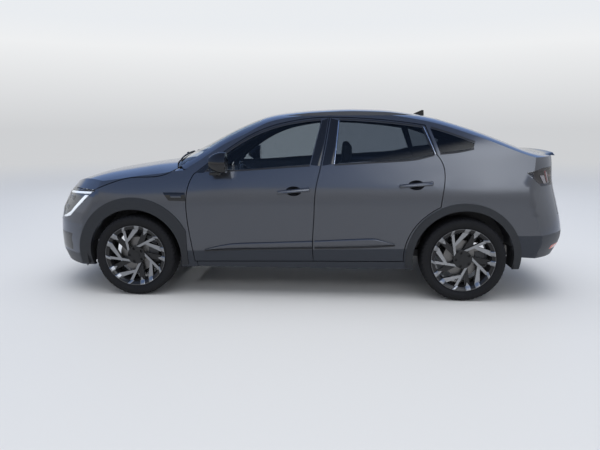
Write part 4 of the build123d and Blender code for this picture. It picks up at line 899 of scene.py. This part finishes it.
# Wipers and tail lip: two black arms with rubber blades at the foot of the windscreen, and a moulded lip
# along the tailgate's upper edge.
ROOF_LINE = ((1320, 1010), (1140, 1130), (828, 1286), (644, 1381), (463, 1462), (283, 1520), (20, 1552),
             (-150, 1563), (-420, 1571), (-694, 1562), (-870, 1543), (-1121, 1497), (-1291, 1450),
             (-1460, 1395), (-1626, 1333), (-1792, 1264), (-1900, 1224), (-2000, 1202), (-2150, 1190),
             (-2420, 1175))
ROOF_HALF = ((1320, 900), (862, 845), (712, 781), (370, 690), (-166, 636), (-824, 690), (-1221, 745),
             (-1600, 800), (-2000, 810), (-2420, 800))
ROOF_DROP = ((1320, 220), (1000, 200), (862, 180), (712, 138), (370, 100), (200, 72), (-166, 52), (-824, 66),
             (-1221, 72), (-1600, 78), (-2100, 60), (-2420, 60))
WIPERS = {"blade_left": ((1040, 620), (1050, 340), (1062, 30)),
          "arm_left": ((1120, 60), (1092, 180), (1052, 330)),
          "blade_right": ((1052, 10), (1040, -260), (1012, -520)),
          "arm_right": ((1112, -440), (1080, -380), (1040, -265))}
WIPER_SIZES, WIPER_TAPER, THIN_END = {"blade": (7, 9, 11), "arm": (9, 5, 24)}, 12, 0.05
CROWN_ROUND, CROWN_ROLL = 0.55, 0.45
LIP_FRONT, LIP_REAR, LIP_HALF, LIP_RISE, LIP_SINK, LIP_BOW = -2050, -2136, 585, 16, 2, 34
LIP_CREST, LIP_EASE, LIP_BACK, LIP_ENDS = 0.85, 1.5, 0.08, 14


def roof_skin(x, y):
    """Height in mm of the windscreen, roof and tail deck: a crown that rolls over at its edge."""
    share = np.abs(y) / eased(x, *ROOF_HALF)
    return eased(x, *ROOF_LINE) - eased(x, *ROOF_DROP) * (CROWN_ROUND * share**2 + CROWN_ROLL * share**6)


def wiper_bar(route, wide, tall, lift, steps=40):
    """Bar along a route of (x, y) points on the windscreen: an oval section swept along it, thinner at its
    ends."""
    line = along(route, steps)
    run = np.gradient(line, axis=0)
    run /= np.linalg.norm(run, axis=1)[:, None]
    turn = np.linspace(0, 2 * pi, 17)[:-1]
    end = np.minimum(np.linspace(0, 1, steps), np.linspace(1, 0, steps))
    slim = np.clip(WIPER_TAPER * end, THIN_END, 1)[:, None]
    x = line[:, :1] - run[:, 1:] * wide * slim * np.cos(turn)
    y = line[:, 1:] + run[:, :1] * wide * slim * np.cos(turn)
    z = roof_skin(x, y) + lift + tall * slim * np.sin(turn)
    return np.stack([x, y, z], axis=-1) / 1000


wiper_black = finish("wiper_black", (0.018, 0.018, 0.019), 0.5, spread=0.15, relief=0.05)
for label, route in WIPERS.items():
    bar = wiper_bar(route, *WIPER_SIZES[label.split("_")[0]])
    grid_piece(f"wiper_{label}", bar, "body", wiper_black, wrap_v=True)


def tail_lip():
    """Lip across the tail deck: z = roof(x, y) + rise * bump(t), low ahead and square behind."""
    s, t = np.meshgrid(np.linspace(-1, 1, 48), np.linspace(0, 1, 14), indexing="ij")
    x = LIP_FRONT + t * (LIP_REAR - LIP_FRONT) + LIP_BOW * np.abs(s)**3
    y = LIP_HALF * s
    bump = np.clip(t / LIP_CREST, 0, 1)**LIP_EASE * np.clip((1 - t) / LIP_BACK, 0, 1)
    bump *= np.clip(LIP_ENDS * (1 - np.abs(s)), 0, 1)
    return np.stack([x, y, roof_skin(x, y) - LIP_SINK + (LIP_RISE + LIP_SINK) * bump], axis=-1) / 1000


grid_piece("tail_lip", tail_lip(), "tailgate", gloss_black)

# Wheel deflectors: soft black rubber blades under the front bumper, ahead of the tyres.
BLADE_X, BLADE_Y, BLADE_Z, BLADE_BOW = 1868, 700, 252, 16
BLADE_THICK, BLADE_HALF_LONG, BLADE_HALF_TALL, BLADE_TAPER = 7, 90, 28, 10


def deflector(sign):
    """Blade across the car: an oval section in x, z swept in y, bowed back towards its ends."""
    s, a = np.meshgrid(np.linspace(-1, 1, 20), np.linspace(0, 2 * pi, 21)[:-1], indexing="ij")
    slim = np.clip(BLADE_TAPER * (1 - np.abs(s)), THIN_END, 1)
    x = BLADE_X - BLADE_BOW * s**2 + BLADE_THICK * slim * np.cos(a)
    z = BLADE_Z + BLADE_HALF_TALL * slim * np.sin(a)
    return np.stack([x, sign * (BLADE_Y + BLADE_HALF_LONG * s), z], axis=-1) / 1000


for side_name, sign in SIDES:
    grid_piece(f"wheel_deflector_{side_name}", deflector(sign), "body", wiper_black, wrap_v=True)

# Wheelhouse skirts: felted liners that carry each wheelhouse down to the sills and bumpers.
SKIRT_RADIUS, SKIRT_WALL = {"front": 428, "rear": 412}, 3
SKIRT_TOP, SKIRT_FOOT, SKIRT_IN, SKIRT_OUT = radians(13), radians(-11), 640.0, 850.0


def skirt(axle, heading, sign):
    """Thin closed sheet round the axle: x = axle_x + r cos(a), z = axle_z + r sin(a), from above the axle
    down to the body's foot, with r on the inner and then the outer wall."""
    a = np.linspace(SKIRT_TOP, SKIRT_FOOT, 24)[:, None]
    loop_y = np.array([SKIRT_IN, SKIRT_OUT, SKIRT_OUT, SKIRT_IN])
    loop_r = SKIRT_RADIUS[axle] + np.array([0.0, 0.0, SKIRT_WALL, SKIRT_WALL])
    x = 1000 * AXLE_X[axle] + heading * loop_r * np.cos(a)
    z = 1000 * AXLE_Z + loop_r * np.sin(a)
    return np.stack([x, sign * loop_y + 0 * a, z], axis=-1) / 1000


felt = finish("liner_felt", (0.016, 0.016, 0.017), 0.9, spread=0.3, relief=0.3, grain=500)
for side_name, sign in SIDES:
    for axle in AXLES:
        for label, heading in (("ahead", 1), ("behind", -1)):
            grid_piece(f"liner_{axle}_{label}_{side_name}", skirt(axle, heading, sign), "body", felt,
                       wrap_v=True)

# Dashboard and steering wheel: grained soft plastic, a screen on the dashboard and a leather rim.
DASH_HOOD = ((0.66, 0.38, 1.005), 0.20, 0.36, 0.05, 0.12)
CENTRE_SCREEN = ((0.640, 0.0, 0.985), 0.20, 0.16, 0.014, radians(100), 9.0)
END_MERGE = 0.0002
grained_black = finish("grained_black", (0.020, 0.020, 0.021), 0.6, spread=0.12, relief=0.25, grain=700)
dress("dashboard", grained_black)
dress("steering_wheel", finish("rim_leather", (0.018, 0.017, 0.017), 0.5, spread=0.2, relief=0.3, grain=450))


def rounded_block(centre, long, wide, thick, tilt, power=5.0, steps=(28, 40)):
    """Closed rounded form: p(u, v) = centre + R(tilt) (l(v), w(v) cos(u)^(2/n), h(v) sin(u)^(2/n)), with v
    along its length, whose section shrinks to a point at both ends."""
    v, u = np.meshgrid(np.linspace(-1, 1, steps[0]), np.linspace(0, 2 * pi, steps[1] + 1)[:-1], indexing="ij")
    run = np.sin(v * pi / 2)
    close = (1 - np.abs(run)**power)**(1 / power)
    c, s = np.cos(u), np.sin(u)
    across = wide / 2 * close * np.sign(c) * np.abs(c)**(2 / power)
    rise = thick / 2 * close * np.sign(s) * np.abs(s)**(2 / power)
    x = long / 2 * run * cos(tilt) - rise * sin(tilt)
    z = long / 2 * run * sin(tilt) + rise * cos(tilt)
    return np.stack([x, across, z], axis=-1) + np.array(centre)


def closed_piece(name, points, material):
    """Rounded form on the body as a mesh with its two ends drawn together."""
    piece = grid_piece(name, points, "body", material, wrap_v=True)
    shape = bmesh.new()
    shape.from_mesh(piece.data)
    bmesh.ops.remove_doubles(shape, verts=shape.verts, dist=END_MERGE)
    bmesh.ops.recalc_face_normals(shape, faces=shape.faces)
    shape.to_mesh(piece.data)
    shape.free()
    return piece


screen_glass = finish("screen_black", (0.012, 0.013, 0.016), 0.08, spread=0.05, coat=1.0, relief=0.0)
closed_piece("dash_hood", rounded_block(*DASH_HOOD), grained_black)
closed_piece("centre_screen", rounded_block(*CENTRE_SCREEN), screen_glass)

# Seats: foam cushions under woven cloth with sewn channels, on plastic bases. The cloth swells between its
# seams under the foam's pressure.
CLOTH_GREY, WEAVE_SCALE, WEAVE_RELIEF = (0.050, 0.051, 0.055), 90.0, 0.35
PRESSURE, SEAT_FRAMES, SWELL_LIMIT, FILL = 4.0, 20, 0.024, 0.7
SEAT_Y, SEAT_WIDTH, SEAM_HALF, UNDERSIDE = 0.385, 0.46, 0.007, -0.3
SEAT_BASE_X, BENCH_BASE_X, BASE_Z = 0.025, -0.70, 0.345
SEAT_BASE, BENCH_BASE = (0.46, 0.36, 0.118, 0.0, 9.0), (0.44, 1.02, 0.118, 0.0, 9.0)
CUSHIONS = {
    "seat_cushion": ((0.078, SEAT_Y, 0.470), 0.52, SEAT_WIDTH, 0.125, radians(4), (-0.15, 0.15)),
    "seat_back": ((-0.292, SEAT_Y, 0.800), 0.60, SEAT_WIDTH - 0.02, 0.105, radians(109), (-0.14, 0.14)),
    "head_rest": ((-0.392, SEAT_Y, 1.180), 0.17, 0.25, 0.080, radians(95), ()),
}
BENCH = {
    "bench_cushion": ((-0.675, 0.0, 0.478), 0.42, 1.10, 0.135, radians(4), (-0.19, 0.19)),
    "bench_back": ((-1.030, 0.0, 0.795), 0.55, 1.10, 0.085, radians(110), (-0.19, 0.19)),
}


def woven_cloth():
    """Woven cloth: a fine crossed weave from two waves on the object's coordinates, uneven in colour."""
    made = finish("seat_cloth", CLOTH_GREY, 0.85, spread=0.2, patch=9.0, relief=0.0)
    tree = made.node_tree
    place, bump = tree.nodes.new("ShaderNodeTexCoord"), tree.nodes["Bump"]
    waves = []
    for direction in ("Y", "Z"):
        wave = tree.nodes.new("ShaderNodeTexWave")
        wave.bands_direction = direction
        wave.inputs["Scale"].default_value = WEAVE_SCALE
        tree.links.new(place.outputs["Object"], wave.inputs["Vector"])
        waves.append(wave.outputs["Fac"])
    tree.links.new(sum_node(tree, "MULTIPLY", *waves), bump.inputs["Height"])
    bump.inputs["Strength"].default_value = WEAVE_RELIEF
    return made


seat_cloth = woven_cloth()


def cushion(name, centre, long, wide, thick, tilt, seams, node):
    """Rounded cushion whose seams and underside are pinned, ready to swell."""
    points = rounded_block(centre, long, wide, thick, tilt, power=4.0, steps=(44, 96))
    piece = closed_piece(name, points, seat_cloth)
    spots = np.empty(3 * len(piece.data.vertices))
    piece.data.vertices.foreach_get("co", spots)
    local = spots.reshape(-1, 3) - np.array(centre)
    height = -local[:, 0] * sin(tilt) + local[:, 2] * cos(tilt)
    held = height < UNDERSIDE * thick
    for seam in seams:
        held |= (np.abs(local[:, 1] - seam) < SEAM_HALF) & (height > 0)
    pins = piece.vertex_groups.new(name="seams")
    pins.add(np.flatnonzero(held).tolist(), 1.0, "REPLACE")
    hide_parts(node)
    return piece


def swell(pieces):
    """Blows the cushions up as cloth under pressure, caps each point's travel, and keeps the result."""
    starts = []
    for piece in pieces:
        spots = np.empty(3 * len(piece.data.vertices))
        piece.data.vertices.foreach_get("co", spots)
        starts.append(spots)
        cloth = piece.modifiers.new("cloth", "CLOTH")
        cloth.settings.use_pressure = True
        cloth.settings.uniform_pressure_force = PRESSURE
        cloth.settings.vertex_group_mass = "seams"
        cloth.settings.effector_weights.gravity = 0.0
        cloth.collision_settings.use_collision = False
    for step in range(1, SEAT_FRAMES + 1):
        bpy.context.scene.frame_set(step)
    graph = bpy.context.evaluated_depsgraph_get()
    for piece, start in zip(pieces, starts):
        shown = piece.evaluated_get(graph).to_mesh()
        spots = np.empty_like(start)
        shown.vertices.foreach_get("co", spots)
        piece.evaluated_get(graph).to_mesh_clear()
        piece.modifiers.clear()
        move = (spots - start).reshape(-1, 3)
        far = np.linalg.norm(move, axis=1, keepdims=True)
        move *= np.minimum(1, SWELL_LIMIT / np.maximum(far, 1e-9))
        piece.data.vertices.foreach_set("co", start + move.ravel())
        piece.data.update()
    bpy.context.scene.frame_set(1)


cushions = []
for side_name, sign in SIDES:
    node = f"seat_front_{side_name}"
    for label, (centre, long, wide, thick, tilt, seams) in CUSHIONS.items():
        at = (centre[0], sign * centre[1], centre[2])
        cushions.append(cushion(f"{label}_{side_name}", at, long, wide, thick, tilt, seams, node))
    base = rounded_block((SEAT_BASE_X, sign * SEAT_Y, BASE_Z), *SEAT_BASE)
    closed_piece(f"seat_base_{side_name}", base, grained_black)
for label, (centre, long, wide, thick, tilt, seams) in BENCH.items():
    cushions.append(cushion(label, centre, long, wide, thick, tilt, seams, "rear_bench"))
bench_base = rounded_block((BENCH_BASE_X, 0.0, BASE_Z), *BENCH_BASE)
closed_piece("bench_base", bench_base, grained_black)
swell(cushions)
